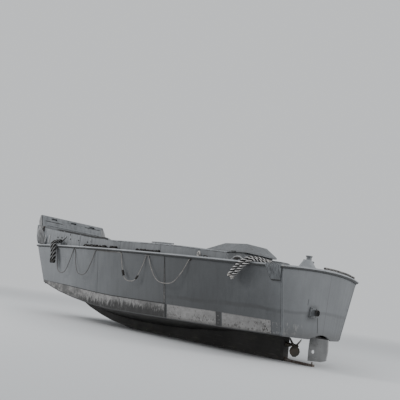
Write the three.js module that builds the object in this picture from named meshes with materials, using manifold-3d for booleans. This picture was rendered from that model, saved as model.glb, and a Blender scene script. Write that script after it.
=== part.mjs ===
// Military landing craft: a ramped, flat-bilged plywood boat about 11 m long.
// Millimetres. +X forward, +Y port, +Z up. The tables below measure X from the
// aft-most point of the transom; the whole boat is then moved so that the
// origin lies on the underside of the keel shoe, amidships.
import * as THREE from 'three';
import { mergeVertices } from 'three/addons/utils/BufferGeometryUtils.js';
import Module from 'manifold-3d';

const wasm = await Module();
wasm.setup();

// ---------------------------------------------------------------- dimensions
const ORIGIN_X = 5200;          // keel reference point, forward of the transom
const GAP = 0.4;                // air between pieces that touch
const SKIN = 30;                // side planking with its armour plate
const BOTTOM_T = 40;            // bottom planking
const DECK_T = 30;              // decks
const TRANSOM_T = 40;
const TRANSOM_SWEEP = 246;      // transom corner forward of its centre
const TRANSOM_RAKE = 90;        // foot of the transom forward of its head
const CAMBER = 60;              // aft deck and transom head
const ARCH_H = 114, ARCH_W = 430;  // tunnel arch in the transom's foot
const KEEL_W = 200;             // keel and skeg timber
const WELL_Y = 1185;            // half breadth of the cargo well
const PANEL_Y = 1210;           // outer face of the well lining
const COAM_Y = 1250;            // outer face of coaming and bulwark
const WELL_Z = 900, SILL_Z = 985;
const SOLE_Z = 1300;            // steering cockpit floor
const BULKHEAD_X = 3600;        // between cargo well and cockpit
const DECK_END = 2050;          // forward edge of the aft deck
const HINGE_X = 10020, HINGE_Z = 965;   // ramp hinge line
const RAMP_LEAN = Math.atan(0.4155);    // ramp leans forward when shut
const RAMP_L = 2445, RAMP_T = 85;
const TUB_X = 1250, TUB_Y = 550, TUB_R = 380;
const PROP_X = 770, PROP_Z = 375, PROP_R = 255;
const RUDDER_X = 280;           // rudder stock
const ROPE_R = 11;

// Hull sections. Columns: sheer x, y, z; chine x, y, z
const HULL = [
  [  246, 1447, 2001,   335, 1083, 585],
  [  867, 1494, 2016,   917, 1157, 574],
  [ 1489, 1534, 2030,  1499, 1220, 563],
  [ 2317, 1571, 2047,  2274, 1278, 550],
  [ 3353, 1599, 2066,  3244, 1322, 535],
  [ 4389, 1617, 2082,  4213, 1350, 521],
  [ 5425, 1618, 2096,  5183, 1354, 508],
  [ 6461, 1609, 2108,  6152, 1352, 502],
  [ 7497, 1591, 2117,  7121, 1348, 548],
  [ 8532, 1566, 2123,  8091, 1343, 649],
  [ 9361, 1520, 2126,  8866, 1326, 752],
  [ 9983, 1463, 2128,  9448, 1302, 859],
  [10604, 1399, 2128, 10030, 1275, 984],
];
// Bottom. Columns: x, centre z, y1, z1, y2, z2 (the outer edge is the chine)
const BOTTOM = [
  [  335, 700, 220, 672, 450, 588],
  [  917, 692, 220, 664, 450, 577],
  [ 1499, 640, 220, 620, 450, 556],
  [ 2274, 520, 220, 508, 450, 500],
  [ 3244, 385, 220, 402, 450, 438],
  [ 4213, 300, 220, 330, 500, 388],
  [ 5183, 262, 240, 300, 600, 376],
  [ 6152, 250, 250, 292, 600, 376],
  [ 7121, 275, 250, 318, 600, 410],
  [ 8091, 365, 250, 405, 600, 500],
  [ 8866, 495, 250, 530, 600, 612],
  [ 9448, 680, 250, 704, 600, 760],
  [10030, 935, 250, 944, 600, 958],
];
// Coaming and bulwark head. Columns: x, z
const COAMING_TOP = [[2055, 2278], [2980, 2330], [3710, 2370], [4500, 2400], [6280, 2438], [6598, 2440]];
const BULWARK_TOP = [[6600, 2441], [6720, 2446], [6860, 2486], [7050, 2516], [7560, 2534], [8800, 2646], [9970, 2752], [10660, 2830], [10786, 2842]];
// Grab rope: columns x, drop below the sheer where the rail is not lifted, sag
// of the stretch to the next row
const GRAB_ROPE = [
  [9150, 80, 788], [8030, 80, 766], [6830, 80, 5], [5650, 80, 752], [4480, 80, 668], [2900, 80, 0],
];

// ------------------------------------------------------------------- helpers
const boat = new THREE.Group();
boat.position.x = -ORIGIN_X;

const PAINT = { color: 0x6b7276, roughness: 0.62, metalness: 0.1 };
const MATERIALS = {
  hull_paint: PAINT,
  bottom_paint: { color: 0x3c3f40, roughness: 0.75, metalness: 0.0 },
  rail_paint: { color: 0x858b8d, roughness: 0.6, metalness: 0.0 },
  deck_paint: { color: 0x5d6467, roughness: 0.8, metalness: 0.0 },
  steel_paint: { color: 0x6f777b, roughness: 0.5, metalness: 0.4 },
  bare_steel: { color: 0x5a564f, roughness: 0.55, metalness: 0.8 },
  bronze: { color: 0x8a6a3c, roughness: 0.4, metalness: 0.9 },
  rope: { color: 0xa79f8b, roughness: 0.95, metalness: 0.0 },
  dark_rope: { color: 0x3a3733, roughness: 0.95, metalness: 0.0 },
};

function add(name, geometry, material) {
  const g = geometry;
  g.computeVertexNormals();
  const mesh = new THREE.Mesh(g, new THREE.MeshStandardMaterial(MATERIALS[material]));
  mesh.name = name;
  boat.add(mesh);
  return mesh;
}

function clean(geometry) {
  let g = geometry.clone();
  for (const key of ['normal', 'uv', 'uv1', 'uv2', 'color']) if (g.getAttribute(key)) g.deleteAttribute(key);
  g.morphAttributes = {};
  g = mergeVertices(g, 1e-3);
  return g;
}

// turns a closed surface right way out, whichever way its loops ran
function outward(g) {
  const p = g.getAttribute('position'), i = g.getIndex();
  let volume = 0;
  const a = new THREE.Vector3(), b = new THREE.Vector3(), c = new THREE.Vector3();
  for (let k = 0; k < i.count; k += 3) {
    a.fromBufferAttribute(p, i.getX(k)); b.fromBufferAttribute(p, i.getX(k + 1)); c.fromBufferAttribute(p, i.getX(k + 2));
    volume += a.dot(b.cross(c));
  }
  if (volume < 0) {
    const arr = Array.from(i.array);
    for (let k = 0; k < arr.length; k += 3) [arr[k + 1], arr[k + 2]] = [arr[k + 2], arr[k + 1]];
    g.setIndex(arr);
  }
  return g;
}

// closed solid through sections that all have the same number of points
function loft(sections) {
  const n = sections[0].length, pos = [], idx = [];
  for (const s of sections) for (const p of s) pos.push(p[0], p[1], p[2]);
  for (let i = 0; i + 1 < sections.length; i++) {
    for (let j = 0; j < n; j++) {
      const a = i * n + j, b = i * n + (j + 1) % n;
      idx.push(a, b, b + n, a, b + n, a + n);
    }
  }
  for (const end of [0, sections.length - 1]) {
    const ring = sections[end];
    let nx = 0, ny = 0, nz = 0;
    for (let j = 0; j < n; j++) {
      const p = ring[j], q = ring[(j + 1) % n];
      nx += (p[1] - q[1]) * (p[2] + q[2]); ny += (p[2] - q[2]) * (p[0] + q[0]); nz += (p[0] - q[0]) * (p[1] + q[1]);
    }
    const ax = [Math.abs(nx), Math.abs(ny), Math.abs(nz)], k = ax.indexOf(Math.max(...ax));
    const flat = ring.map(p => k === 0 ? new THREE.Vector2(p[1], p[2]) : k === 1 ? new THREE.Vector2(p[2], p[0]) : new THREE.Vector2(p[0], p[1]));
    const sign = [nx, ny, nz][k] > 0;
    const rev = THREE.ShapeUtils.isClockWise(flat);
    const tris = THREE.ShapeUtils.triangulateShape(rev ? flat.slice().reverse() : flat, []);
    for (const t of tris) {
      const v = t.map(m => end * n + (rev ? n - 1 - m : m));
      // the first cap faces back along the loft, the last faces on
      const facing = sign ? v : [v[0], v[2], v[1]];
      if (end === 0) idx.push(facing[0], facing[2], facing[1]); else idx.push(facing[0], facing[1], facing[2]);
    }
  }
  const g = new THREE.BufferGeometry();
  g.setAttribute('position', new THREE.Float32BufferAttribute(pos, 3));
  g.setIndex(idx);
  return outward(g);
}

function box(x0, x1, y0, y1, z0, z1) {
  const g = new THREE.BoxGeometry(x1 - x0, y1 - y0, z1 - z0);
  g.translate((x0 + x1) / 2, (y0 + y1) / 2, (z0 + z1) / 2);
  return clean(g);
}

// straight bar or pipe between two points
function rod(a, b, r, sides = 12, r2 = r) {
  const A = new THREE.Vector3(...a), B = new THREE.Vector3(...b);
  const g = new THREE.CylinderGeometry(r2, r, A.distanceTo(B), sides);
  g.applyQuaternion(new THREE.Quaternion().setFromUnitVectors(new THREE.Vector3(0, 1, 0), B.clone().sub(A).normalize()));
  g.translate((A.x + B.x) / 2, (A.y + B.y) / 2, (A.z + B.z) / 2);
  return clean(g);
}

// solid of revolution about a vertical axis through (x, y)
function turned(x, y, profile, sides = 24) {
  const g = new THREE.LatheGeometry(profile.map(p => new THREE.Vector2(p[0], p[1])), sides);
  g.rotateX(Math.PI / 2);
  g.translate(x, y, 0);
  return outward(clean(g));
}

// outline in the XZ plane, as a plate from y0 to y1
function plateXZ(points, y0, y1, holes = []) {
  const shape = new THREE.Shape(points.map(p => new THREE.Vector2(p[0], p[1])));
  for (const h of holes) {
    const path = new THREE.Path();
    path.absarc(h[0], h[1], h[2], 0, Math.PI * 2, true);
    shape.holes.push(path);
  }
  const g = new THREE.ExtrudeGeometry(shape, { depth: y1 - y0, bevelEnabled: false, curveSegments: 8 });
  g.rotateX(Math.PI / 2);          // (x, z) outline, extruded towards -Y
  g.translate(0, y1, 0);
  return outward(clean(g));
}

// rope or pipe of a regular section along points
function tube(points, r, steps, sides = 8) {
  const curve = new THREE.CatmullRomCurve3(points.map(p => new THREE.Vector3(...p)), false, 'centripetal');
  const ring = [];
  for (let k = 0; k < sides; k++) ring.push(new THREE.Vector2(r * Math.cos(2 * Math.PI * k / sides), r * Math.sin(2 * Math.PI * k / sides)));
  const g = new THREE.ExtrudeGeometry(new THREE.Shape(ring), { steps, extrudePath: curve, bevelEnabled: false, curveSegments: 1 });
  return outward(clean(g));
}

function toSolid(g) {
  const c = clean(g);
  return new wasm.Manifold(new wasm.Mesh({ numProp: 3, vertProperties: new Float32Array(c.getAttribute('position').array), triVerts: new Uint32Array(c.getIndex().array) }));
}
function fromSolid(m) {
  const mesh = m.getMesh(), n = mesh.numProp, pos = [];
  for (let i = 0; i < mesh.vertProperties.length / n; i++) pos.push(mesh.vertProperties[i * n], mesh.vertProperties[i * n + 1], mesh.vertProperties[i * n + 2]);
  const g = new THREE.BufferGeometry();
  g.setAttribute('position', new THREE.Float32BufferAttribute(pos, 3));
  g.setIndex(Array.from(mesh.triVerts));
  return g;
}
const join = (...list) => fromSolid(list.slice(1).reduce((m, g) => m.add(toSolid(g)), toSolid(list[0])));
const cut = (g, ...tools) => fromSolid(tools.reduce((m, t) => m.subtract(toSolid(t)), toSolid(g)));

function mirrored(g) {
  const c = clean(g);
  c.scale(1, -1, 1);
  return outward(c);
}

// adds a port piece and its starboard twin
function pair(name, geometry, material) {
  const twin = mirrored(geometry);
  add('port_' + name, geometry, material);
  add('starboard_' + name, twin, material);
}

function lookup(table, x, cx, cv) {
  if (x <= table[0][cx]) return table[0][cv];
  for (let i = 0; i + 1 < table.length; i++) {
    const a = table[i], b = table[i + 1];
    if (x <= b[cx]) return a[cv] + (b[cv] - a[cv]) * (x - a[cx]) / (b[cx] - a[cx]);
  }
  return table[table.length - 1][cv];
}
const sheerY = x => lookup(HULL, x, 0, 1), sheerZ = x => lookup(HULL, x, 0, 2);
const chineY = x => lookup(HULL, x, 3, 4), chineZ = x => lookup(HULL, x, 3, 5);
const keelZ = x => lookup(BOTTOM, x, 0, 1);
const rampX = z => HINGE_X + (z - HINGE_Z) * Math.tan(RAMP_LEAN);

// --------------------------------------------------------------------- hull
// half section of the bottom at x, from the centre out to the planking
function bottomHalf(x) {
  return [[0, keelZ(x)], [lookup(BOTTOM, x, 0, 2), lookup(BOTTOM, x, 0, 3)], [lookup(BOTTOM, x, 0, 4), lookup(BOTTOM, x, 0, 5)], [chineY(x) - SKIN - GAP, chineZ(x)]];
}
const HEADLOG_X = 9620;
{
  const xs = [335 + TRANSOM_T + 3, ...BOTTOM.slice(1, 12).map(r => r[0]), HEADLOG_X];
  add('hull_bottom', loft(xs.map(x => {
    const h = bottomHalf(x), outer = [...h.slice(1).reverse().map(p => [x, p[0], p[1]]), [x, 0, h[0][1]], ...h.slice(1).map(p => [x, -p[0], p[1]])];
    return [...outer, ...outer.slice().reverse().map(p => [x, p[1], p[2] + BOTTOM_T])];
  })), 'bottom_paint');
}

// side planking, one piece each side, from just forward of the transom
const PLANK_ROWS = HULL.map((r, i) => {
  if (i > 0) return r;
  const dx = TRANSOM_T + 4;
  return [r[0] + dx, sheerY(r[0] + dx), sheerZ(r[0] + dx), r[3] + dx, chineY(r[3] + dx), chineZ(r[3] + dx)];
});
{
  const rows = PLANK_ROWS;
  pair('side_planking', loft(rows.map(r => [[r[0], r[1], r[2]], [r[3], r[4], r[5]], [r[3], r[4] - SKIN, r[5]], [r[0], r[1] - SKIN, r[2]]])), 'hull_paint');
}

// transom: curved in plan, cambered head, arched foot, hole for the exhaust
const transomX = (s, v) => TRANSOM_SWEEP * s * s + TRANSOM_RAKE * (1 - v);
const transomHead = s => HULL[0][2] + CAMBER * (1 - s * s);
const transomFoot = (y) => HULL[0][5] + (Math.abs(y) < ARCH_W ? ARCH_H * Math.cos(Math.PI / 2 * y / ARCH_W) : 0);
const EXHAUST = { y: 447, z: 1155, r: 66, out: 52 };
{
  const ss = [-1, -0.85, -0.7, -0.55, -0.4, -0.3, -0.2, -0.1, 0, 0.1, 0.2, 0.3, 0.4, 0.55, 0.7, 0.85, 1];
  const plank = loft(ss.map(s => {
    const yb = s * HULL[0][4], yt = s * HULL[0][1], ym = (yb + yt) / 2;
    const zb = transomFoot(yb), zt = transomHead(s), zm = (zb + zt) / 2;
    return [[transomX(s, 0), yb, zb], [transomX(s, 0.5), ym, zm], [transomX(s, 1), yt, zt],
      [transomX(s, 1) + TRANSOM_T, yt, zt], [transomX(s, 0.5) + TRANSOM_T, ym, zm], [transomX(s, 0) + TRANSOM_T, yb, zb]];
  }));
  add('transom', cut(plank, rod([-200, EXHAUST.y, EXHAUST.z], [400, EXHAUST.y, EXHAUST.z], EXHAUST.r + 1, 20)), 'hull_paint');
}

// keel and skeg, one long timber with a flat shoe
const SKEG_END = 1010;
{
  const top = [[9610, keelZ(9610) - GAP]];
  for (const r of BOTTOM.slice(1, 12).reverse()) if (r[0] > SKEG_END) top.push([r[0], r[0] < 2400 ? r[1] - 0.4545 * (r[1] - r[3]) - 7 : r[1] - 2]);
  const z1 = keelZ(SKEG_END) - 0.4545 * (lookup(BOTTOM, SKEG_END, 0, 1) - lookup(BOTTOM, SKEG_END, 0, 3)) - 7;
  const shoe = [[SKEG_END, 0], [6400, 0], [7000, 40], [7600, 112], [8200, 222], [8900, 395], [9300, 530], [9610, 668]];
  add('keel', plateXZ([[SKEG_END, z1], ...shoe, ...top], -KEEL_W / 2, KEEL_W / 2), 'bottom_paint');
}

// head log: solid timber that closes the bow under the ramp, with hinge lugs
{
  const front = HINGE_X - 45;
  const log = loft([HEADLOG_X + GAP, 9800, front].map(x => {
    const h = bottomHalf(x);
    return [...h.slice(1).reverse().map(p => [x, p[0], p[1]]), [x, 0, h[0][1]], ...h.slice(1).map(p => [x, -p[0], p[1]]),
      [x, -(h[3][0]), SILL_Z], [x, h[3][0], SILL_Z]];
  }));
  const lugs = [];
  for (const y of [-900, -300, 300, 900]) {
    lugs.push(rod([HINGE_X, y - 60, HINGE_Z], [HINGE_X, y + 60, HINGE_Z], 26, 12));
    lugs.push(box(front - 20, HINGE_X, y - 60, y + 60, HINGE_Z - 12, HINGE_Z + 12));
  }
  add('bow_head_log', join(log, ...lugs), 'hull_paint');
}

// ------------------------------------------------------------------ rub rails
// half-round section. Columns: out, up
const RAIL = [[1.5, -66], [30, -62], [52, -44], [62, -24], [56, -4], [38, 8], [1.5, 12]];
// the rail stands proud of the planking's head, most of all forward
const RAIL_LIFT = [[246, 36], [1500, 28], [3500, 35], [5200, 41], [7500, 50], [9000, 50], [10700, 47]];
{
  const rows = [HULL[0], ...PLANK_ROWS].map((r, i) => {
    const slope = (r[1] - r[4]) / (r[2] - r[5]);
    const out = i === 0 ? [-0.732, 0.948] : [0, 1];
    const lift = lookup(RAIL_LIFT, r[0], 0, 1);
    return RAIL.map(([o, up], k) => {
      const u = up + lift;
      const lean = i > 0 && (k === 0 || k === RAIL.length - 1) ? slope * u + 2 : 0;
      const off = i === 0 ? Math.max(o, 8) : o;
      return [r[0] + out[0] * off, r[1] + out[1] * off + lean, r[2] + u];
    });
  });
  pair('rub_rail', loft(rows), 'rail_paint');
  const ss = [-1, -0.8, -0.6, -0.4, -0.2, 0, 0.2, 0.4, 0.6, 0.8, 1];
  add('transom_rail', loft(ss.map(s => {
    const y = s * HULL[0][1], f = 2 * TRANSOM_SWEEP * y / (HULL[0][1] ** 2), l = Math.hypot(1, f);
    let out = [-1 / l, f / l];
    const back = Math.abs(s) === 1 ? 1.2 : 0;
    if (Math.abs(s) === 1) out = [-0.732, 0.948 * s];
    return RAIL.map(([o, u]) => [TRANSOM_SWEEP * s * s + out[0] * (o + 1), y + out[1] * (o + 1) - Math.sign(s) * back, transomHead(s) + u + RAIL_LIFT[0][1]]);
  })), 'rail_paint');
}

// ---------------------------------------------------------------------- decks
{
  const us = [0, 0.18, 0.5, 1], ss = [-1, -0.75, -0.5, -0.25, 0, 0.25, 0.5, 0.75, 1];
  const slab = loft(ss.map(s => {
    const x0 = TRANSOM_SWEEP * s * s + TRANSOM_T + 5;
    const line = us.map(u => {
      const x = x0 + (DECK_END - x0) * u;
      return [x, s * (sheerY(x) - SKIN - 10), sheerZ(x) + CAMBER * (1 - s * s)];
    });
    return [...line, ...line.slice().reverse().map(p => [p[0], p[1], p[2] - DECK_T])];
  }));
  const holes = [TUB_Y, -TUB_Y].map(y => turned(TUB_X, y, [[0, 1900], [TUB_R + 1, 1900], [TUB_R + 1, 2200], [0, 2200]]));
  const z = sheerZ(1500) + 12, y = 1462;
  const hook = join(box(1400, 1600, y - 16, y + 16, z + 34, z + 60), box(1450, 1550, y - 20, y + 20, z - 20, z + 40));
  add('aft_deck', join(cut(slab, ...holes), hook, mirrored(hook)), 'deck_paint');
}

function cleat(x, y, z) {
  return join(box(x - 130, x + 130, y - 17, y + 17, z + 48, z + 78), box(x - 60, x - 24, y - 17, y + 17, z - 12, z + 60), box(x + 24, x + 60, y - 17, y + 17, z - 12, z + 60));
}
function eye(x, y, z, R = 62, r = 15) {
  const g = new THREE.TorusGeometry(R, r, 8, 14);
  g.rotateX(Math.PI / 2);
  g.translate(x, y, z + R - r);
  return clean(g);
}
{
  const xs = [DECK_END + 3, 3353, 4389, 5425, 6461, 7497, 8532, 9361, 9983, 10430];
  const slab = loft(xs.map(x => {
    const z = sheerZ(x), y = sheerY(x) - SKIN - 9;
    return [[x, COAM_Y + GAP, z], [x, y, z], [x, y, z - DECK_T], [x, COAM_Y + GAP, z - DECK_T]];
  }));
  // Fittings that stand on the side deck. Columns: x, y and, for an eye, the
  // height of its foot
  const CLEATS = [[6250, 1430], [9500, 1370]], EYES = [[2750, 1440, 36], [8900, 1400, 52]];
  pair('side_deck', join(slab, ...CLEATS.map(c => cleat(c[0], c[1], sheerZ(c[0]))), ...EYES.map(([x, y, h]) => join(eye(x, y, sheerZ(x) + h), box(x - 42, x + 42, y - 17, y + 17, sheerZ(x) - 12, sheerZ(x) + h - 4)))), 'deck_paint');
}

add('cargo_deck', loft([[BULKHEAD_X + 40, WELL_Z], [8900, WELL_Z], [HEADLOG_X, 965]].map(([x, z]) =>
  [[x, WELL_Y - 1, z], [x, -WELL_Y + 1, z], [x, -WELL_Y + 1, z - DECK_T], [x, WELL_Y - 1, z - DECK_T]])), 'deck_paint');

// -------------------------------------------------------- coaming and bulwark
{
  const foot = [[6598, sheerZ(6598) - 60], [4389, sheerZ(4389) - 60], [DECK_END + 5, sheerZ(DECK_END) - 60]];
  pair('coaming', plateXZ([...COAMING_TOP, ...foot], PANEL_Y + GAP, COAM_Y), 'hull_paint');
}
{
  const f0 = 2068, xf = z => rampX(z) - 12;
  const top = BULWARK_TOP.map(p => [Math.min(p[0], xf(p[1])), p[1]]);
  let plate = plateXZ([...top, [xf(f0), f0], [8532, sheerZ(8532) - 60], [6600, sheerZ(6600) - 60]], PANEL_Y + GAP, COAM_Y);
  // knee that braces the bulwark from the side deck. Columns: x, height, foot
  for (const [x, h, w] of [[10360, 420, 90]]) {
    const z = sheerZ(x) + 1;
    plate = join(plate, loft([x - 7, x + 7].map(xx => [[xx, COAM_Y - 4, z], [xx, COAM_Y + w, z], [xx, COAM_Y + w, z + 14], [xx, COAM_Y - 4, z + h]])));
  }
  // cheek: a board across the bow that closes the corner beside the ramp.
  // Columns: y, z
  const CHEEK = [[COAM_Y - 4, 2070], [1358, 2070], [1360, 2200], [1470, 2204], [1500, 2310], [1505, 2450], [1475, 2700], [1450, 2836], [COAM_Y - 4, 2838]];
  plate = join(plate, loft([-45, 0].map(d => CHEEK.map(([y, z]) => [xf(z) + d, y, z]))));
  pair('bow_bulwark', plate, 'hull_paint');
}
pair('well_lining', loft([[DECK_END + 34, 870], [8900, 870], [9600, 990], [9900, 992]].map(([x, z]) =>
  [[x, PANEL_Y, sheerZ(x) - 5], [x, PANEL_Y, z], [x, WELL_Y, z], [x, WELL_Y, sheerZ(x) - 5]])), 'hull_paint');
pair('bow_post', loft([988, 1500, 2060].map(z => {
  const v = (z - 984) / (2128 - 984), y = 1275 + 124 * v - SKIN - 4, xf = rampX(z) - 12;
  return [[xf, PANEL_Y + GAP, z], [xf, y, z], [xf - 110, y + 4, z], [xf - 110, PANEL_Y + GAP, z]];
})), 'hull_paint');

// ------------------------------------------------- cockpit, engine box, hatch
add('well_bulkhead', box(BULKHEAD_X, BULKHEAD_X + 39, -WELL_Y + 1, WELL_Y - 1, WELL_Z + 1, 2290), 'hull_paint');
add('cockpit_sole', cut(box(DECK_END + 35, BULKHEAD_X - 1, -WELL_Y + 1, WELL_Y - 1, SOLE_Z - DECK_T, SOLE_Z), box(2240, 3420, -380, 380, 1200, 1400)), 'deck_paint');
add('cockpit_bulkhead', box(DECK_END + 3, DECK_END + 33, -WELL_Y + 1, WELL_Y - 1, 1000, 2042), 'hull_paint');
const LID_Z = 2358;
add('engine_box', cut(box(2150, 3400, -560, 560, SOLE_Z + GAP, LID_Z - 1), box(2175, 3375, -535, 535, 1200, 2500)), 'hull_paint');
add('engine', box(2290, 3300, -330, 330, 800, 1960), 'steel_paint');
{
  const shell = (i) => loft([
    [[2050 + i, -600 + i], [3450 - i, 600 - i], LID_Z - (i ? 60 : 0)],
    [[2050 + i, -600 + i], [3450 - i, 600 - i], LID_Z + 40 - i * 0.6],
    [[2240 + i, -390 + i], [2960 - i, 390 - i], LID_Z + 242 - i],
  ].map(([a, b, z]) => [[a[0], a[1], z], [b[0], a[1], z], [b[0], b[1], z], [a[0], b[1], z]]));
  add('engine_hatch_lid', cut(shell(0), shell(20)), 'steel_paint');
}
// steering: pedestal on the bulkhead, wheel on a raked shaft
const WHEEL = { x: 3330, y: 880, z: 2010, r: 240, rake: 25 * Math.PI / 180 };
add('steering_pedestal', plateXZ([[3400, 1301], [3597, 1301], [3597, 2080], [3470, 2080], [3400, 2020]], 780, 980), 'steel_paint');
{
  const rim = new THREE.TorusGeometry(WHEEL.r, 15, 8, 24);
  const parts = [clean(rim), rod([0, 0, -24], [0, 0, 24], 40, 12)];
  for (const a of [0, 60, 120]) {
    const c = Math.cos(a * Math.PI / 180), s = Math.sin(a * Math.PI / 180);
    parts.push(rod([-c * WHEEL.r, -s * WHEEL.r, 0], [c * WHEEL.r, s * WHEEL.r, 0], 11, 8));
  }
  parts.push(rod([0, 0, 10], [0, 0, 64], 16, 10));
  const g = join(...parts);
  // the wheel's own +Z becomes the shaft's forward and downward direction
  g.applyQuaternion(new THREE.Quaternion().setFromUnitVectors(new THREE.Vector3(0, 0, 1), new THREE.Vector3(Math.cos(WHEEL.rake), 0, -Math.sin(WHEEL.rake))));
  g.translate(WHEEL.x, WHEEL.y, WHEEL.z);
  add('steering_wheel', g, 'bare_steel');
}
add('engine_controls', join(box(3480, 3597, 640, 720, 1880, 2040), rod([3530, 660, 2030], [3500, 660, 2190], 9, 8), rod([3530, 700, 2030], [3545, 700, 2200], 9, 8)), 'steel_paint');
add('ramp_winch', join(
  box(2420, 2880, -1120, -680, SOLE_Z + GAP, SOLE_Z + 30), box(2480, 2820, -1090, -1060, SOLE_Z + 20, SOLE_Z + 380), box(2480, 2820, -740, -710, SOLE_Z + 20, SOLE_Z + 380),
  rod([2650, -1100, SOLE_Z + 230], [2650, -700, SOLE_Z + 230], 95, 16), rod([2650, -705, SOLE_Z + 230], [2650, -640, SOLE_Z + 230], 150, 16)), 'steel_paint');

// ---------------------------------------------------------------- aft fittings
pair('aft_cockpit', turned(TUB_X, TUB_Y, [[0, 1300], [TUB_R, 1300], [TUB_R, 2092], [402, 2092], [402, 2160], [350, 2160], [350, 1330], [0, 1330]], 24), 'steel_paint');
const bittZ = sheerZ(770) + CAMBER + 0.6;
add('towing_bitt', join(box(510, 770, -130, 130, bittZ, bittZ + 18), turned(640, 0, [[0, bittZ + 10], [62, bittZ + 10], [62, bittZ + 320], [78, bittZ + 330], [78, bittZ + 352], [0, bittZ + 352]], 16), rod([640, -190, bittZ + 225], [640, 190, bittZ + 225], 23, 10)), 'steel_paint');
{
  const x = 270, y = 560, z = sheerZ(360) + CAMBER * 0.9 + 6;
  add('stern_ventilator', turned(x, y, [[0, z], [213, z], [213, z + 18], [200, z + 30], [150, z + 110], [105, z + 175], [67, z + 208], [0, z + 214]], 24), 'rail_paint');
}
// outer surface of the transom at (y, z)
function transomAt(y, z) {
  const v = (z - HULL[0][5]) / (HULL[0][2] + CAMBER - HULL[0][5]);
  return transomX(y / (HULL[0][4] + v * (HULL[0][1] - HULL[0][4])), v);
}
add('exhaust_pipe', fromSolid(toSolid(join(
  loft([EXHAUST.y - 95, EXHAUST.y, EXHAUST.y + 95].map(y => [[-30, -110], [-30, 110], [-6, 110], [-6, -110]].map(([d, u]) => [transomAt(y, EXHAUST.z + u) + d, y, EXHAUST.z + u]))),
  rod([-EXHAUST.out, EXHAUST.y, EXHAUST.z], [200, EXHAUST.y, EXHAUST.z], EXHAUST.r, 20)))
  .subtract(toSolid(rod([-400, EXHAUST.y, EXHAUST.z], [400, EXHAUST.y, EXHAUST.z], EXHAUST.r - 7, 20)))), 'bare_steel');

// --------------------------------------------------------------- under the run
const SHAFT_R = 22;
add('stern_bearing', (() => {
  const tubeG = rod([SKEG_END - 0.5, 0, PROP_Z], [SKEG_END - 110, 0, PROP_Z], 58, 16, 44);
  return cut(tubeG, rod([SKEG_END + 20, 0, PROP_Z], [SKEG_END - 200, 0, PROP_Z], SHAFT_R + 1, 16));
})(), 'bronze');
add('propeller_shaft', rod([SKEG_END - 4, 0, PROP_Z], [PROP_X + 66, 0, PROP_Z], SHAFT_R, 16), 'bronze');
{
  const hub = rod([PROP_X + 65, 0, 0], [PROP_X - 62, 0, 0], 46, 16, 34);
  const cap = rod([PROP_X - 61, 0, 0], [PROP_X - 95, 0, 0], 30, 16, 12);
  const parts = [hub, cap];
  // blade sections. Columns: radius, half chord, half thickness, pitch angle
  const BLADE = [[30, 66, 11, 62], [84, 104, 9, 50], [142, 124, 7, 42], [200, 104, 5, 36], [PROP_R - 6, 40, 3, 32]];
  for (let k = 0; k < 3; k++) {
    const blade = loft(BLADE.map(([r, c, t, a]) => {
      const ca = Math.cos(a * Math.PI / 180), sa = Math.sin(a * Math.PI / 180);
      return [[-c, 0], [-c * 0.5, -t], [c * 0.5, -t], [c, 0], [c * 0.5, t], [-c * 0.5, t]].map(([u, v]) =>
        [PROP_X + u * sa + v * ca, v * sa - u * ca, Math.sqrt(Math.max(r * r - (u * ca) ** 2 * 0.6, 100))]);
    }));
    blade.rotateX((k * 120 + 180) * Math.PI / 180);
    parts.push(blade);
  }
  const g = join(...parts);
  g.translate(0, 0, PROP_Z);
  add('propeller', g, 'bronze');
}
{
  const blade = plateXZ([[392, 104], [398, 360], [388, 618], [-84, 622], [-96, 380], [-70, 176], [60, 132]], -16, 16, [[RUDDER_X, 318, 42]]);
  add('rudder', join(blade, rod([RUDDER_X, 0, 560], [RUDDER_X, 0, 684], 26, 12)), 'steel_paint');
}
add('rudder_heel', join(plateXZ([[232, 0.5], [SKEG_END - GAP, 0.5], [SKEG_END - GAP, 92], [900, 56], [232, 50]], -38, 38), rod([RUDDER_X, 0, 30], [RUDDER_X, 0, 96], 17, 12)), 'bare_steel');

// ------------------------------------------------------------------------ ramp
{
  // built upright in its own frame: s up the ramp, n forward; then leaned over.
  // Outer plate, edge frame, cross ribs and two stringers on its inner side.
  const halfAt = sv => 1222 + 50 * sv / RAMP_L;
  const bar = (s0, s1, n0, n1) => loft([s0, s1].map(sv => [[n0, -halfAt(sv), sv], [n0, halfAt(sv), sv], [n1, halfAt(sv), sv], [n1, -halfAt(sv), sv]]));
  const parts = [bar(42, RAMP_L, RAMP_T - 8, RAMP_T)];
  for (const sv of [42, 400, 760, 1120, 1480, 1840, 2140, RAMP_L - 60]) parts.push(bar(sv, sv + (sv === 42 || sv > 2300 ? 60 : 34), 0, RAMP_T - 4));
  for (const side of [-1, 1]) {
    parts.push(loft([42, RAMP_L].map(sv => { const w = side * halfAt(sv); return [[0, w, sv], [0, w - side * 70, sv], [RAMP_T, w - side * 70, sv], [RAMP_T, w, sv]]; })));
    parts.push(box(8, RAMP_T - 4, side * 400 - 20, side * 400 + 20, 60, RAMP_L - 20));
  }
  for (const y of [-600, 0, 600]) {
    parts.push(rod([0, y - 80, 0], [0, y + 80, 0], 26, 12));
    parts.push(box(-10, 30, y - 80, y + 80, 0, 60));
  }
  const g = join(...parts);
  g.rotateY(RAMP_LEAN);
  g.translate(HINGE_X, 0, HINGE_Z);
  add('bow_ramp', g, 'steel_paint');
}

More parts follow.
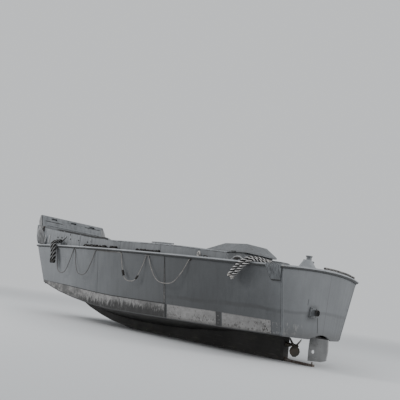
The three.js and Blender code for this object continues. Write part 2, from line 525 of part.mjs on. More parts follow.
// ----------------------------------------------------------------------- ropes
// The grab rope is held at each row of its table, where it turns over a small
// arc, and hangs in between.
const TURN_R = 52, TURN = 66 * Math.PI / 180;
function grabRoute(side) {
  const pts = [], last = GRAB_ROPE.length - 1;
  const at = x => [sheerY(x) + 8, sheerZ(x) + lookup(RAIL_LIFT, x, 0, 1) - GRAB_ROPE[0][1]];
  for (let i = 0; i <= last; i++) {
    const [x, , sag] = GRAB_ROPE[i], steepIn = i > 0 && GRAB_ROPE[i - 1][2] > 100, steepOut = sag > 100;
    for (const a of [-TURN, -TURN / 2, 0, TURN / 2, TURN]) {
      if ((a < 0 && !steepIn) || (a > 0 && !steepOut)) continue;
      const xx = x - TURN_R * Math.sin(a), [y, z] = at(xx);
      pts.push([xx, side * y, z - TURN_R * (1 - Math.cos(a))]);
    }
    if (i < last) {
      const x2 = GRAB_ROPE[i + 1][0], d = TURN_R * Math.sin(TURN), drop = TURN_R * (1 - Math.cos(TURN));
      for (const u of steepOut ? [0.12, 0.32, 0.68, 0.88] : [0.5]) {
        const xx = x - d + (x2 - x + 2 * d) * u, [y, z] = at(xx);
        pts.push([xx, side * y, z - (steepOut ? drop : 0) - (sag - (steepOut ? drop : 0)) * (1 - Math.pow(Math.abs(2 * u - 1), 2.3))]);
      }
    }
  }
  return pts;
}
for (const [name, side] of [['port_grab_rope', 1], ['starboard_grab_rope', -1]]) {
  const route = grabRoute(side).map(p => new THREE.Vector3(...p)), curve = new THREE.CatmullRomCurve3(route, false, 'centripetal');
  const steps = 2 * (route.length - 1), frames = [];
  for (let k = 0; k <= steps; k++) {
    const t = curve.getTangent(k / steps), c = curve.getPoint(k / steps);
    const out = new THREE.Vector3(0, 1, 0).addScaledVector(t, -t.y).normalize(), up = new THREE.Vector3().crossVectors(t, out);
    frames.push([0, 1, 2, 3, 4, 5, 6, 7].map(j => {
      const q = c.clone().addScaledVector(out, ROPE_R * Math.cos(j * Math.PI / 4)).addScaledVector(up, ROPE_R * Math.sin(j * Math.PI / 4));
      return [q.x, q.y, q.z];
    }));
  }
  add(name, loft(frames), 'rope');
}

// fenders of thick rope, hung over the rail from the deck
const FENDER_R = 40;
const FENDERS = {
  port_aft_fender_forward: [[776, 1164, 2088], [861, 1259, 2118], [940, 1360, 2138], [1018, 1457, 2145], [1105, 1552, 2132], [1187, 1622, 2070], [1261, 1640, 2014], [1345, 1640, 1952], [1420, 1635, 1880], [1491, 1628, 1809], [1548, 1620, 1747], [1580, 1615, 1699]],
  port_aft_fender_after: [[700, 1240, 2080], [790, 1330, 2080], [880, 1420, 2084], [965, 1510, 2108], [1012, 1574, 2096], [1052, 1620, 2042], [1124, 1645, 1983], [1203, 1645, 1920], [1278, 1640, 1855], [1353, 1632, 1788], [1431, 1625, 1721], [1497, 1615, 1651]],
};
for (const [name, route] of Object.entries(FENDERS)) add(name, tube(route, FENDER_R, 18), 'rope');
const BOW_FENDER = [[9440, 1318, 2349], [9425, 1400, 2318], [9390, 1475, 2290], [9350, 1552, 2262], [9300, 1614, 2226], [9250, 1654, 2162], [9200, 1668, 2085], [9170, 1668, 2000], [9140, 1665, 1900], [9125, 1660, 1780], [9120, 1652, 1660], [9120, 1649, 1600]];
add('port_bow_fender', tube(BOW_FENDER, 59, 18), 'dark_rope');
add('port_bow_fender_after', tube(BOW_FENDER.map(([x, y, z], k) => [x - [165, 165, 165, 165, 162, 150, 138, 130, 128, 128, 128, 128][k], y + 9, z]), 59, 18), 'dark_rope');

// mooring line left lying along the head of the transom, on its rail
const LINE_R = 26;
const lineRoute = [];
for (let k = 0; k <= 15; k++) {
  const y = 300 - 100 * k, s = y / HULL[0][1];
  lineRoute.push([TRANSOM_SWEEP * s * s - 12 + 7 * Math.sin(k * 1.1), y, transomHead(s) + 76]);
}
add('transom_line', tube(lineRoute, LINE_R, 30), 'rope');

export default boat;
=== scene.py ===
import math
import random

import bpy
import numpy as np
from mathutils import Matrix, Vector
from mathutils.bvhtree import BVHTree


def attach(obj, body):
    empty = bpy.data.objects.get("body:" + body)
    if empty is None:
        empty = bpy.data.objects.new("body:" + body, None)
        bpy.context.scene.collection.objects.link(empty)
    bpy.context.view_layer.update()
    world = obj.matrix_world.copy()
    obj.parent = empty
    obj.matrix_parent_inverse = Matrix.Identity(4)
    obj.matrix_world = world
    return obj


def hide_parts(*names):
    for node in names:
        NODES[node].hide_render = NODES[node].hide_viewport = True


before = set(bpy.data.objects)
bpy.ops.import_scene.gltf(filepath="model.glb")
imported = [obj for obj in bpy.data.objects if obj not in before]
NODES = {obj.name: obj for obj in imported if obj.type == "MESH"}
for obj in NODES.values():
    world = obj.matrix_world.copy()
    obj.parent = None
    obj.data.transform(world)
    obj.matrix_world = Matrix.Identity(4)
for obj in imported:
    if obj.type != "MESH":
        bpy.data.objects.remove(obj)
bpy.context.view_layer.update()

OX = 5.2  # tables below measure x from the aft-most point of the transom

# ------------------------------------------------------------------ dimensions
# Hull sections. Columns: sheer x, y, z; chine x, y, z
HULL = [
    (0.246, 1.447, 2.001, 0.335, 1.083, 0.585), (0.867, 1.494, 2.016, 0.917, 1.157, 0.574),
    (1.489, 1.534, 2.030, 1.499, 1.220, 0.563), (2.317, 1.571, 2.047, 2.274, 1.278, 0.550),
    (3.353, 1.599, 2.066, 3.244, 1.322, 0.535), (4.389, 1.617, 2.082, 4.213, 1.350, 0.521),
    (5.425, 1.618, 2.096, 5.183, 1.354, 0.508), (6.461, 1.609, 2.108, 6.152, 1.352, 0.502),
    (7.497, 1.591, 2.117, 7.121, 1.348, 0.548), (8.532, 1.566, 2.123, 8.091, 1.343, 0.649),
    (9.361, 1.520, 2.126, 8.866, 1.326, 0.752), (9.983, 1.463, 2.128, 9.448, 1.302, 0.859),
    (10.604, 1.399, 2.128, 10.030, 1.275, 0.984),
]
# Coaming and bulwark head. Columns: x, z
COAMING_TOP = [(2.055, 2.278), (2.980, 2.330), (3.710, 2.370), (4.500, 2.400), (6.280, 2.438), (6.598, 2.440)]
BULWARK_TOP = [(6.600, 2.441), (6.720, 2.446), (6.860, 2.486), (7.050, 2.516), (7.560, 2.534), (8.800, 2.646), (9.970, 2.752), (10.660, 2.830)]
# Lower edge of the side armour. Columns: x, z
ARMOUR_EDGE = [(3.70, 0.900), (4.87, 0.895), (6.11, 0.895), (6.98, 0.925), (8.39, 0.995), (9.66, 1.035), (10.2, 1.05)]
# Grab rope. Columns: x, sag of the stretch to the next row
GRAB_ROPE = [(9.150, 0.788), (8.030, 0.766), (6.830, 0.005), (5.650, 0.752), (4.480, 0.668), (2.900, 0.0)]
ROPE_DROP = 0.080
GRAB_R, TURN_R, TURN = 0.011, 0.052, math.radians(66)
FENDER_R, BOW_FENDER_R = 0.040, 0.059
FENDER_FORWARD = [(0.776, 1.164, 2.088), (0.861, 1.259, 2.118), (0.940, 1.360, 2.138), (1.018, 1.457, 2.145), (1.105, 1.552, 2.132), (1.187, 1.622, 2.070), (1.261, 1.640, 2.014), (1.345, 1.640, 1.952), (1.420, 1.635, 1.880), (1.491, 1.628, 1.809), (1.548, 1.620, 1.747), (1.580, 1.615, 1.699)]
FENDER_AFTER = [(0.700, 1.240, 2.080), (0.790, 1.330, 2.080), (0.880, 1.420, 2.084), (0.965, 1.510, 2.108), (1.012, 1.574, 2.096), (1.052, 1.620, 2.042), (1.124, 1.645, 1.983), (1.203, 1.645, 1.920), (1.278, 1.640, 1.855), (1.353, 1.632, 1.788), (1.431, 1.625, 1.721), (1.497, 1.615, 1.651)]
FENDER_BOW = [(9.440, 1.318, 2.349), (9.425, 1.400, 2.318), (9.390, 1.475, 2.290), (9.350, 1.552, 2.262), (9.300, 1.614, 2.226), (9.250, 1.654, 2.162), (9.200, 1.668, 2.085), (9.170, 1.668, 2.000), (9.140, 1.665, 1.900), (9.125, 1.660, 1.780), (9.120, 1.652, 1.660), (9.120, 1.649, 1.600)]
BOW_SHIFT = (0.165, 0.165, 0.165, 0.165, 0.162, 0.150, 0.138, 0.130, 0.128, 0.128, 0.128, 0.128)
FENDER_BOW_AFTER = [(x - d, y + 0.009, z) for (x, y, z), d in zip(FENDER_BOW, BOW_SHIFT)]
# Height of the rub rail above its even line. Columns: x, lift
RAIL_LIFT = [(0.246, 0.036), (1.500, 0.028), (3.500, 0.035), (5.200, 0.041), (7.500, 0.050), (9.000, 0.050), (10.700, 0.047)]
HINGE = (10.020, 0.965)
RAMP_LEAN, RAMP_L, RAMP_T = math.atan(0.4155), 2.445, 0.085


def table(rows, x, cx, cv):
    if x <= rows[0][cx]:
        return rows[0][cv]
    for a, b in zip(rows, rows[1:]):
        if x <= b[cx]:
            return a[cv] + (b[cv] - a[cv]) * (x - a[cx]) / (b[cx] - a[cx])
    return rows[-1][cv]


def sheer_y(x):
    return table(HULL, x, 0, 1)


def sheer_z(x):
    return table(HULL, x, 0, 2)


def chine_y(x):
    return table(HULL, x, 3, 4)


def chine_z(x):
    return table(HULL, x, 3, 5)


def rail_lift(x):
    return table(RAIL_LIFT, x, 0, 1)


def armour_z(x):
    return table(ARMOUR_EDGE, x, 0, 1)


def P(x, y, z):
    return Vector((x - OX, y, z))


# ---------------------------------------------------------------------- camera
def make_camera():
    data = bpy.data.cameras.new("camera")
    data.lens, data.sensor_width, data.clip_end = 52.32, 36.0, 900.0
    ob = bpy.data.objects.new("camera", data)
    bpy.context.scene.collection.objects.link(ob)
    right = Vector((-0.69615524, -0.70489306, 0.13599134))
    up = Vector((-0.02622561, 0.21427631, 0.97642095))
    ahead = Vector((0.71741208, -0.67617411, 0.16765583))
    m = Matrix((right, up, -ahead)).transposed().to_4x4()
    m.translation = Vector((-12.447, 11.107, 1.097))
    ob.matrix_world = m
    bpy.context.scene.camera = ob


make_camera()


# ------------------------------------------------------------------- materials
class Skin:
    """A node material on object coordinates, which are the row frame's metres."""

    def __init__(self, name, rough=0.6, metal=0.0, spec=0.35):
        self.m = bpy.data.materials.new(name)
        self.m.use_nodes = True
        self.t = self.m.node_tree
        self.t.nodes.clear()
        out = self.t.nodes.new("ShaderNodeOutputMaterial")
        self.b = self.t.nodes.new("ShaderNodeBsdfPrincipled")
        self.t.links.new(self.b.outputs[0], out.inputs["Surface"])
        self.b.inputs["Roughness"].default_value = rough
        self.b.inputs["Metallic"].default_value = metal
        self.b.inputs["Specular IOR Level"].default_value = spec
        self.co = self.t.nodes.new("ShaderNodeTexCoord").outputs["Object"]
        split = self.t.nodes.new("ShaderNodeSeparateXYZ")
        self.t.links.new(self.co, split.inputs[0])
        self.x, self.y, self.z = split.outputs[0], split.outputs[1], split.outputs[2]

    def put(self, socket, value):
        if isinstance(value, bpy.types.NodeSocket):
            self.t.links.new(value, socket)
        else:
            socket.default_value = value

    def math(self, op, a, b=0.0, clamp=False):
        n = self.t.nodes.new("ShaderNodeMath")
        n.operation, n.use_clamp = op, clamp
        self.put(n.inputs[0], a)
        self.put(n.inputs[1], b)
        return n.outputs[0]

    def noise(self, scale=1.0, detail=3.0, rough=0.55, stretch=None, seed=0.0, distortion=0.0):
        m = self.t.nodes.new("ShaderNodeMapping")
        m.inputs["Scale"].default_value = stretch or (1, 1, 1)
        m.inputs["Location"].default_value = (seed * 3.1, seed * 1.7, seed * 2.3)
        self.t.links.new(self.co, m.inputs["Vector"])
        n = self.t.nodes.new("ShaderNodeTexNoise")
        self.t.links.new(m.outputs[0], n.inputs["Vector"])
        for k, v in (("Scale", scale), ("Detail", detail), ("Roughness", rough), ("Distortion", distortion)):
            n.inputs[k].default_value = v
        return n.outputs[0]

    def range(self, value, lo, hi, to_lo=0.0, to_hi=1.0):
        n = self.t.nodes.new("ShaderNodeMapRange")
        n.interpolation_type = "SMOOTHSTEP"
        self.put(n.inputs["Value"], value)
        for k, v in (("From Min", lo), ("From Max", hi), ("To Min", to_lo), ("To Max", to_hi)):
            self.put(n.inputs[k], v)
        return n.outputs[0]

    def curve(self, value, rows, lo=0.0, hi=1.0):
        """Piecewise-linear table of value: rows of (input, output), through a ramp."""
        a, b = rows[0][0], rows[-1][0]
        n = self.t.nodes.new("ShaderNodeMapRange")
        self.put(n.inputs["Value"], value)
        n.inputs["From Min"].default_value, n.inputs["From Max"].default_value = a, b
        r = self.t.nodes.new("ShaderNodeValToRGB")
        self.t.links.new(n.outputs[0], r.inputs[0])
        e = r.color_ramp.elements
        while len(e) > 1:
            e.remove(e[-1])
        for i, (v, o) in enumerate(rows):
            k = (v - a) / (b - a)
            s = (o - lo) / (hi - lo)
            if i == 0:
                e[0].position, e[0].color = k, (s, s, s, 1)
            else:
                e.new(k).color = (s, s, s, 1)
        return self.math("ADD", self.math("MULTIPLY", r.outputs[0], hi - lo), lo)

    def mix(self, fac, a, b):
        n = self.t.nodes.new("ShaderNodeMixRGB")
        self.put(n.inputs[0], fac)
        for socket, v in ((n.inputs[1], a), (n.inputs[2], b)):
            self.put(socket, v if isinstance(v, bpy.types.NodeSocket) else (*v[:3], 1.0))
        return n.outputs[0]

    def shade(self, colour, fac):
        """colour times a grey factor."""
        n = self.t.nodes.new("ShaderNodeMixRGB")
        n.blend_type = "MULTIPLY"
        n.inputs[0].default_value = 1.0
        self.put(n.inputs[1], colour if isinstance(colour, bpy.types.NodeSocket) else (*colour[:3], 1.0))
        self.t.links.new(fac, n.inputs[2])
        return n.outputs[0]

    def band(self, value, centre, half, soft):
        """1 within half of centre, 0 beyond half + soft."""
        d = self.math("ABSOLUTE", self.math("SUBTRACT", value, centre))
        return self.range(d, half, half + soft, 1.0, 0.0)

    def done(self, colour, rough=None, height=None, bump=0.3, dist=0.004):
        self.put(self.b.inputs["Base Color"], colour if isinstance(colour, bpy.types.NodeSocket) else (*colour[:3], 1.0))
        if rough is not None:
            self.put(self.b.inputs["Roughness"], rough)
        if height is not None:
            n = self.t.nodes.new("ShaderNodeBump")
            n.inputs["Strength"].default_value, n.inputs["Distance"].default_value = bump, dist
            self.t.links.new(height, n.inputs["Height"])
            self.t.links.new(n.outputs[0], self.b.inputs["Normal"])
        return self.m


def grey(g, warm=0.0):
    """A near-neutral tone: warm above 0 leans to brown, below to blue."""
    return (g * (1 + warm), g, g * (1 - warm))


COOL = -0.045


def paint(name, g, warm=COOL, mottle=0.16, streak=0.14, chips=0.0, chip_tone=(0.5, 0.48, 0.44), rust=0.0, rough=0.62, seed=0.0, vertical=True, extra=None, spec=0.35, grain=0.0, bump=0.25):
    """Weathered matt paint: mottling, run-down streaks, fine grain, chips and rust."""
    s = Skin(name, rough, 0.0, spec)
    big = s.noise(0.9, 4, 0.6, seed=seed)
    mid = s.noise(6.5, 5, 0.62, seed=seed + 1)
    fine = s.noise(70, 3, 0.6, seed=seed + 2)
    run = s.noise(1.0, 5, 0.65, (9, 9, 0.7) if vertical else (1.2, 6, 6), seed + 3)
    c = s.mix(s.range(big, 0.32, 0.68), grey(g * (1 - mottle * 0.6), warm), grey(g * (1 + mottle * 0.6), warm))
    c = s.shade(c, s.range(mid, 0.25, 0.75, 1 - mottle * 0.55, 1 + mottle * 0.3))
    c = s.shade(c, s.range(run, 0.42, 0.72, 1.0, 1 - streak * 1.6))
    c = s.shade(c, s.range(fine, 0.2, 0.8, 0.94, 1.05))
    height = s.math("ADD", s.math("MULTIPLY", fine, 0.35), s.math("MULTIPLY", mid, 0.8))
    if grain:
        wood = s.noise(1.0, 6, 0.7, (1.3, 26, 34), seed + 7)
        c = s.shade(c, s.range(wood, 0.3, 0.75, 1 - grain, 1 + grain * 0.4))
        height = s.math("ADD", height, s.math("MULTIPLY", wood, 1.2))
    if chips:
        n = s.noise(22, 6, 0.72, seed=seed + 4)
        cover = s.range(s.noise(1.6, 3, 0.5, seed=seed + 5), 0.4, 0.65, 0.0, 0.07)
        m = s.range(s.math("ADD", n, cover), 0.70 - chips * 0.08, 0.725 - chips * 0.08)
        c = s.mix(s.math("MULTIPLY", m, 0.85), c, chip_tone)
        height = s.math("SUBTRACT", height, s.math("MULTIPLY", m, 0.6))
    if rust:
        n = s.noise(11, 6, 0.75, (1, 1, 0.45), seed + 6)
        m = s.range(n, 0.60 - rust * 0.1, 0.72 - rust * 0.1)
        c = s.mix(s.math("MULTIPLY", m, 0.75), c, (0.085, 0.062, 0.048))
        height = s.math("ADD", height, s.math("MULTIPLY", m, 0.8))
    if extra:
        c, height = extra(s, c, height)
    r = s.range(mid, 0.3, 0.7, rough - 0.09, rough + 0.1)
    return s.done(c, r, height, bump, 0.003)


HULL_G = 0.150
# Painted light and shade along the side: colour factors by x that stand in for how the light falls
PAINTED_SIDE_LIGHT = [(0.25, 1.05), (0.36, 0.90), (0.5, 0.78), (0.7, 0.72), (1.2, 0.60), (2.0, 0.50), (3.5, 0.50), (3.84, 0.53), (4.8, 0.61), (5.6, 0.68), (6.6, 0.86), (7.6, 1.02), (8.4, 1.10), (9.6, 1.07), (10.7, 1.04)]


def painted_side_light(s, c):
    """Painted light and shade: the side is darkest abreast of the well, lighter towards the bow and the transom corner.
    """
    return s.shade(c, s.curve(s.math("ADD", s.x, OX), PAINTED_SIDE_LIGHT, 0.4, 1.3))


def planking_extra(s, c, h):
    """Painted side light and shade, a dark soft line, strap and weathered strip low on the side, and painted shadow
    under the armour's edge; x and z are the row frame's.
    """
    # painted light and shade along the side
    c = painted_side_light(s, c)
    x = s.math("ADD", s.x, OX)
    dark_line_z = s.curve(x, [(0.3, 1.10), (0.86, 1.11), (1.26, 1.12), (1.67, 1.12), (2.59, 1.075), (3.61, 1.06), (3.85, 1.06)], 0.9, 1.3)
    wob = s.noise(1.0, 4, 0.6, (1.6, 1.6, 3.0), 31)
    line = s.math("ADD", s.z, s.range(wob, 0.2, 0.8, -0.03, 0.03))
    d = s.math("SUBTRACT", line, dark_line_z)
    dark = s.band(d, 0.0, 0.012, 0.055)
    aft = s.range(x, 3.80, 3.82, 1.0, 0.0)
    patchy = s.range(s.noise(1.0, 4, 0.6, (2.4, 2.4, 1.2), 33), 0.3, 0.65, 0.25, 1.0)
    c = s.mix(s.math("MULTIPLY", s.math("MULTIPLY", dark, aft), s.math("MULTIPLY", patchy, 0.5)), c, grey(0.045, 0.0))
    # a little darker from the dark line down to the boards
    below = s.math("MULTIPLY", s.range(d, -0.10, 0.0, 1.0, 0.0), aft)
    c = s.mix(s.math("MULTIPLY", below, 0.16), c, grey(0.09, 0.0))
    # dirt that hangs down from the rail
    top = s.range(s.z, 1.45, 2.02)
    run = s.noise(1.0, 5, 0.7, (11, 11, 0.5), 35)
    c = s.mix(s.math("MULTIPLY", s.range(run, 0.5, 0.75), s.math("MULTIPLY", top, 0.28)), c, grey(0.07, 0.02))
    # strip below the armour: scraped light, with dark runs, forward of the joint
    fwd = s.range(x, 3.80, 3.82)
    edge = s.curve(x, [(3.70, 0.900), (4.87, 0.895), (6.11, 0.895), (6.98, 0.925), (8.39, 0.995), (9.66, 1.035), (10.2, 1.05)], 0.8, 1.1)
    foot = s.curve(x, [(3.7, 0.53), (5.2, 0.508), (6.15, 0.502), (7.12, 0.548), (8.09, 0.649), (8.87, 0.752), (9.45, 0.859), (10.1, 0.99)], 0.4, 1.1)
    depth = s.math("DIVIDE", s.math("SUBTRACT", edge, s.z), s.math("SUBTRACT", edge, foot))
    runs = s.noise(1.0, 6, 0.7, (17, 17, 1.1), 41)
    blot = s.noise(3.2, 6, 0.7, (1, 1, 1.5), 43)
    fine = s.noise(1.0, 4, 0.65, (42, 42, 0.9), 44)
    bow = s.range(x, 7.0, 8.8)
    # scraped light, most of it just under the armour, broken by upright dark runs
    reach = s.curve(x, [(3.8, 0.38), (4.6, 0.40), (5.4, 0.50), (6.2, 0.60), (7.2, 0.74), (8.2, 0.80), (9.2, 0.9)], 0.3, 1.0)
    hang = s.math("ADD", s.math("MULTIPLY", reach, s.range(runs, 0.28, 0.70, 0.30, 1.25)), s.range(fine, 0.35, 0.68, -0.20, 0.24))
    tongue = s.range(s.math("SUBTRACT", hang, depth), -0.14, 0.16)
    mottled = s.range(s.math("ADD", s.math("MULTIPLY", blot, 0.7), s.math("MULTIPLY", runs, 0.3)), 0.44, 0.58)
    light = s.math("ADD", s.math("MULTIPLY", tongue, s.math("SUBTRACT", 1.0, bow)), s.math("MULTIPLY", mottled, s.math("MULTIPLY", bow, 0.75)))
    lower = s.mix(s.range(depth, 0.15, 0.6), grey(0.075, 0.02), grey(0.032, 0.02))
    lower = s.mix(bow, lower, grey(0.085, 0.02))
    strip = s.mix(light, lower, s.mix(s.range(blot, 0.4, 0.62), grey(0.135, 0.02), grey(0.25, 0.02)))
    # thin light streaks that run on to the chine, and dark drips
    thin = s.math("MULTIPLY", s.range(fine, 0.56, 0.66), s.range(s.noise(1.0, 3, 0.5, (3, 3, 0.5), 46), 0.35, 0.6))
    strip = s.mix(s.math("MULTIPLY", thin, 0.32), strip, grey(0.26, 0.02))
    drips = s.range(s.noise(1.0, 3, 0.6, (34, 34, 0.5), 45), 0.58, 0.68)
    strip = s.mix(s.math("MULTIPLY", drips, 0.8), strip, grey(0.040, 0.03))
    strip = s.mix(s.range(depth, 0.86, 1.0, 0.0, 0.5), strip, grey(0.06, 0.02))
    # painted shadow: a thin dark band just under the armour plate's lower edge
    strip = s.mix(s.band(depth, 0.02, 0.03, 0.03), strip, grey(0.03, 0.0))
    c = s.mix(fwd, c, strip)
    h = s.math("ADD", h, s.math("MULTIPLY", s.math("MULTIPLY", light, fwd), 0.6))
    # dark strap between the light boards, and the dark foot of the joint
    gap = s.math("MULTIPLY", s.band(x, 2.015, 0.07, 0.006), s.band(s.z, 0.725, 0.16, 0.01))
    c = s.mix(s.math("MULTIPLY", gap, 0.75), c, grey(0.045, 0.02))
    foot_joint = s.math("MULTIPLY", s.band(x, 3.765, 0.025, 0.01), s.range(s.z, 0.87, 0.90, 1.0, 0.0))
    c = s.mix(s.math("MULTIPLY", foot_joint, 0.85), c, grey(0.03, 0.0))
    # light scrapes aft of the boards
    scr = s.math("MULTIPLY", s.band(s.z, 0.70, 0.12, 0.05), s.band(x, 0.44, 0.10, 0.06))
    c = s.mix(s.math("MULTIPLY", scr, s.range(s.noise(14, 5, 0.7, seed=47), 0.52, 0.62, 0.0, 0.45)), c, grey(0.3, 0.02))
    return c, h


def transom_extra(s, c, h):
    line = s.math("ADD", s.z, s.range(s.noise(1.0, 4, 0.6, (1.4, 1.4, 3.0), 51), 0.2, 0.8, -0.025, 0.025))
    level = s.curve(s.y, [(-1.45, 1.12), (-0.6, 1.16), (0.1, 1.17), (0.6, 1.14), (1.0, 1.10), (1.45, 1.09)], 0.9, 1.3)
    d = s.math("SUBTRACT", line, level)
    c = s.mix(s.math("MULTIPLY", s.band(d, 0.0, 0.01, 0.045), 0.32), c, grey(0.05, 0.0))
    low = s.range(d, -0.05, 0.0, 1.0, 0.0)
    c = s.mix(s.math("MULTIPLY", low, 0.14), c, grey(0.10, 0.0))
    # scraped patch low on the port side, fading inboard
    zone = s.math("MULTIPLY", s.curve(s.y, [(0.45, 0.0), (0.72, 0.5), (0.95, 1.0), (1.08, 1.0), (1.15, 0.2), (1.22, 0.0)]), s.band(s.z, 0.75, 0.10, 0.07))
    scr = s.range(s.math("ADD", s.noise(8, 6, 0.74, (1, 1, 0.7), 53), s.math("MULTIPLY", zone, 0.13)), 0.60, 0.72)
    c = s.mix(s.math("MULTIPLY", s.math("MULTIPLY", scr, zone), 0.7), c, grey(0.28, 0.02))
    # scum towards the foot
    c = s.mix(s.range(s.z, 0.60, 0.86, 0.45, 0.0), c, grey(0.07, 0.03))
    # soot round the exhaust, and the water that runs down from it
    slant = s.math("ADD", 0.264, s.math("MULTIPLY", s.math("SUBTRACT", s.z, 1.055), 0.238))
    wob = s.range(s.noise(1.0, 2, 0.5, (1, 1, 3), 55), 0.2, 0.8, -0.010, 0.010)
    drip = s.math("MULTIPLY", s.band(s.math("SUBTRACT", s.math("ADD", s.y, wob), slant), 0.0, 0.008, 0.012), s.band(s.z, 0.895, 0.14, 0.05))
    c = s.mix(s.math("MULTIPLY", drip, 0.8), c, grey(0.02, 0.05))
    soot = s.math("MULTIPLY", s.band(s.y, 0.43, 0.09, 0.10), s.band(s.z, 1.13, 0.11, 0.12))
    c = s.mix(s.math("MULTIPLY", soot, 0.35), c, grey(0.04, 0.0))
    # centre seam and a small dark mark
    c = s.mix(s.math("MULTIPLY", s.band(s.y, -0.02, 0.004, 0.006), 0.5), c, grey(0.04, 0.0))
    mark = s.math("MULTIPLY", s.band(s.y, 0.62, 0.006, 0.01), s.band(s.z, 1.36, 0.05, 0.03))
    c = s.mix(s.math("MULTIPLY", mark, 0.7), c, grey(0.03, 0.0))
    return c, h


def board_extra(s, c, h):
    """Light boards low on the side: dark specks of bare wood, thicker low down."""
    low = s.range(s.z, 0.57, 0.86, 0.10, 0.0)
    aft = s.range(s.x, 1.35 - OX, 0.70 - OX, 0.0, 0.06)
    spots = s.math("ADD", s.noise(20, 6, 0.74, (1, 1, 0.8), 61), s.math("ADD", low, aft))
    spots = s.math("ADD", spots, s.range(s.noise(2.6, 3, 0.5, seed=63), 0.35, 0.65, -0.03, 0.06))
    m = s.range(spots, 0.62, 0.70)
    c = s.mix(s.math("MULTIPLY", m, 0.9), c, (0.05, 0.046, 0.04))
    haze = s.range(s.noise(5, 5, 0.7, seed=64), 0.40, 0.66)
    c = s.mix(s.math("MULTIPLY", haze, 0.45), c, grey(0.12, 0.02))
    scratch = s.range(s.noise(1.0, 4, 0.7, (40, 40, 1.2), 65), 0.64, 0.72)
    c = s.mix(s.math("MULTIPLY", scratch, 0.45), c, grey(0.10, 0.03))
    foot = s.range(s.z, 0.56, 0.66, 0.75, 0.0)
    c = s.mix(foot, c, grey(0.10, 0.03))
    c = s.mix(s.range(s.z, 0.855, 0.885, 0.0, 0.35), c, grey(0.10, 0.03))
    return c, s.math("SUBTRACT", h, s.math("MULTIPLY", m, 1.5))


def armour_extra(s, c, h):
    # painted light and shade along the side, as on the planking
    c = painted_side_light(s, c)
    x = s.math("ADD", s.x, OX)
    run = s.noise(1.0, 5, 0.7, (11, 11, 0.45), 71)
    c = s.mix(s.math("MULTIPLY", s.range(run, 0.5, 0.78), s.range(s.z, 1.2, 2.05, 0.05, 0.28)), c, grey(0.075, 0.02))
    # a dull darker field low on the after plate
    low = s.math("MULTIPLY", s.range(s.z, 0.95, 1.35, 1.0, 0.0), s.range(x, 5.2, 7.2, 1.0, 0.0))
    c = s.mix(s.math("MULTIPLY", low, s.range(s.noise(2.2, 4, 0.6, seed=73), 0.35, 0.7, 0.05, 0.35)), c, grey(0.08, 0.0))
    # painted light: paler towards the bow
    c = s.mix(s.range(x, 7.4, 10.2, 0.0, 0.20), c, grey(0.26, COOL))
    return c, h


def deck_extra(s, c, h):
    grit = s.noise(260, 2, 0.5, seed=81)
    c = s.shade(c, s.range(grit, 0.3, 0.7, 0.84, 1.1))
    return c, s.math("ADD", h, s.math("MULTIPLY", grit, 1.3))


def tread_extra(s, c, h):
    """Plank seams every 0.2 m and worn tracks down the middle of the well."""
    f = s.math("FRACT", s.math("DIVIDE", s.math("ADD", s.y, 5.0), 0.198))
    seam = s.band(f, 0.5, 0.478, 0.012)
    c = s.mix(s.math("SUBTRACT", 1.0, seam), c, grey(0.02, 0.0))
    track = s.band(s.math("ABSOLUTE", s.y), 0.6, 0.22, 0.2)
    wear = s.math("MULTIPLY", track, s.range(s.noise(7, 5, 0.7, (0.4, 1, 1), 83), 0.42, 0.68, 0.0, 0.75))
    c = s.mix(wear, c, (0.24, 0.20, 0.155))
    return deck_extra(s, c, s.math("SUBTRACT", h, s.math("MULTIPLY", s.math("SUBTRACT", 1.0, seam), 4.0)))


def weed_extra(s, c, h):
    """Bottom: dark paint, scum line, bare scraped strips on the ground-touching parts."""
    n = s.noise(4.5, 6, 0.7, (0.6, 1, 1), 91)
    c = s.mix(s.range(n, 0.5, 0.7, 0.0, 0.6), c, (0.085, 0.09, 0.07))
    scr = s.range(s.math("ADD", s.noise(1.0, 6, 0.7, (2.2, 16, 30), 93), s.range(s.z, 0.0, 0.25, 0.10, 0.0)), 0.60, 0.68)
    c = s.mix(s.math("MULTIPLY", scr, 0.5), c, (0.125, 0.118, 0.108))
    return c, s.math("ADD", h, s.math("MULTIPLY", n, 1.2))


def rudder_extra(s, c, h):
    n = s.noise(6, 6, 0.7, seed=95)
    c = s.mix(s.range(n, 0.45, 0.62, 0.0, 0.35), c, grey(0.30, 0.02))
    c = s.mix(s.range(s.z, 0.1, 0.30, 0.20, 0.0), c, grey(0.10, 0.05))
    # painted shade under the hull, and dirt, on the forward upper part
    shade_and_dirt = s.math("MULTIPLY", s.range(s.x, 0.12 - OX, 0.40 - OX), s.range(s.z, 0.38, 0.60))
    return s.mix(s.math("MULTIPLY", shade_and_dirt, 0.5), c, grey(0.06, 0.0)), h


def rail_extra(s, c, h):
    """Worn light paint; painted shade darkens the faces that look down."""
    g = s.t.nodes.new("ShaderNodeNewGeometry")
    split = s.t.nodes.new("ShaderNodeSeparateXYZ")
    s.t.links.new(g.outputs["Normal"], split.inputs[0])
    wob = s.range(s.noise(7, 4, 0.6, seed=97), 0.3, 0.7, -0.10, 0.10)
    underside_shade = s.range(s.math("ADD", split.outputs[2], wob), -0.18, 0.06, 1.0, 0.0)
    return s.mix(s.math("MULTIPLY", underside_shade, 0.9), c, grey(0.035, 0.0)), h


def cap_shadow_extra(s, c, h):
    """Painted shadow: near-black along the bulwark's head, worn grey right forward."""
    return s.mix(s.range(s.x, 9.60 - OX, 9.90 - OX), c, grey(0.085, COOL)), h


def exhaust_extra(s, c, h):
    """Grey paint, burnt black round the mouth."""
    wob = s.range(s.noise(18, 4, 0.6, seed=99), 0.3, 0.7, -0.015, 0.015)
    burnt = s.range(s.math("ADD", s.x, wob), -0.045 - OX, 0.030 - OX, 1.0, 0.0)
    return s.mix(s.math("MULTIPLY", burnt, 0.92), c, (0.012, 0.011, 0.010)), h


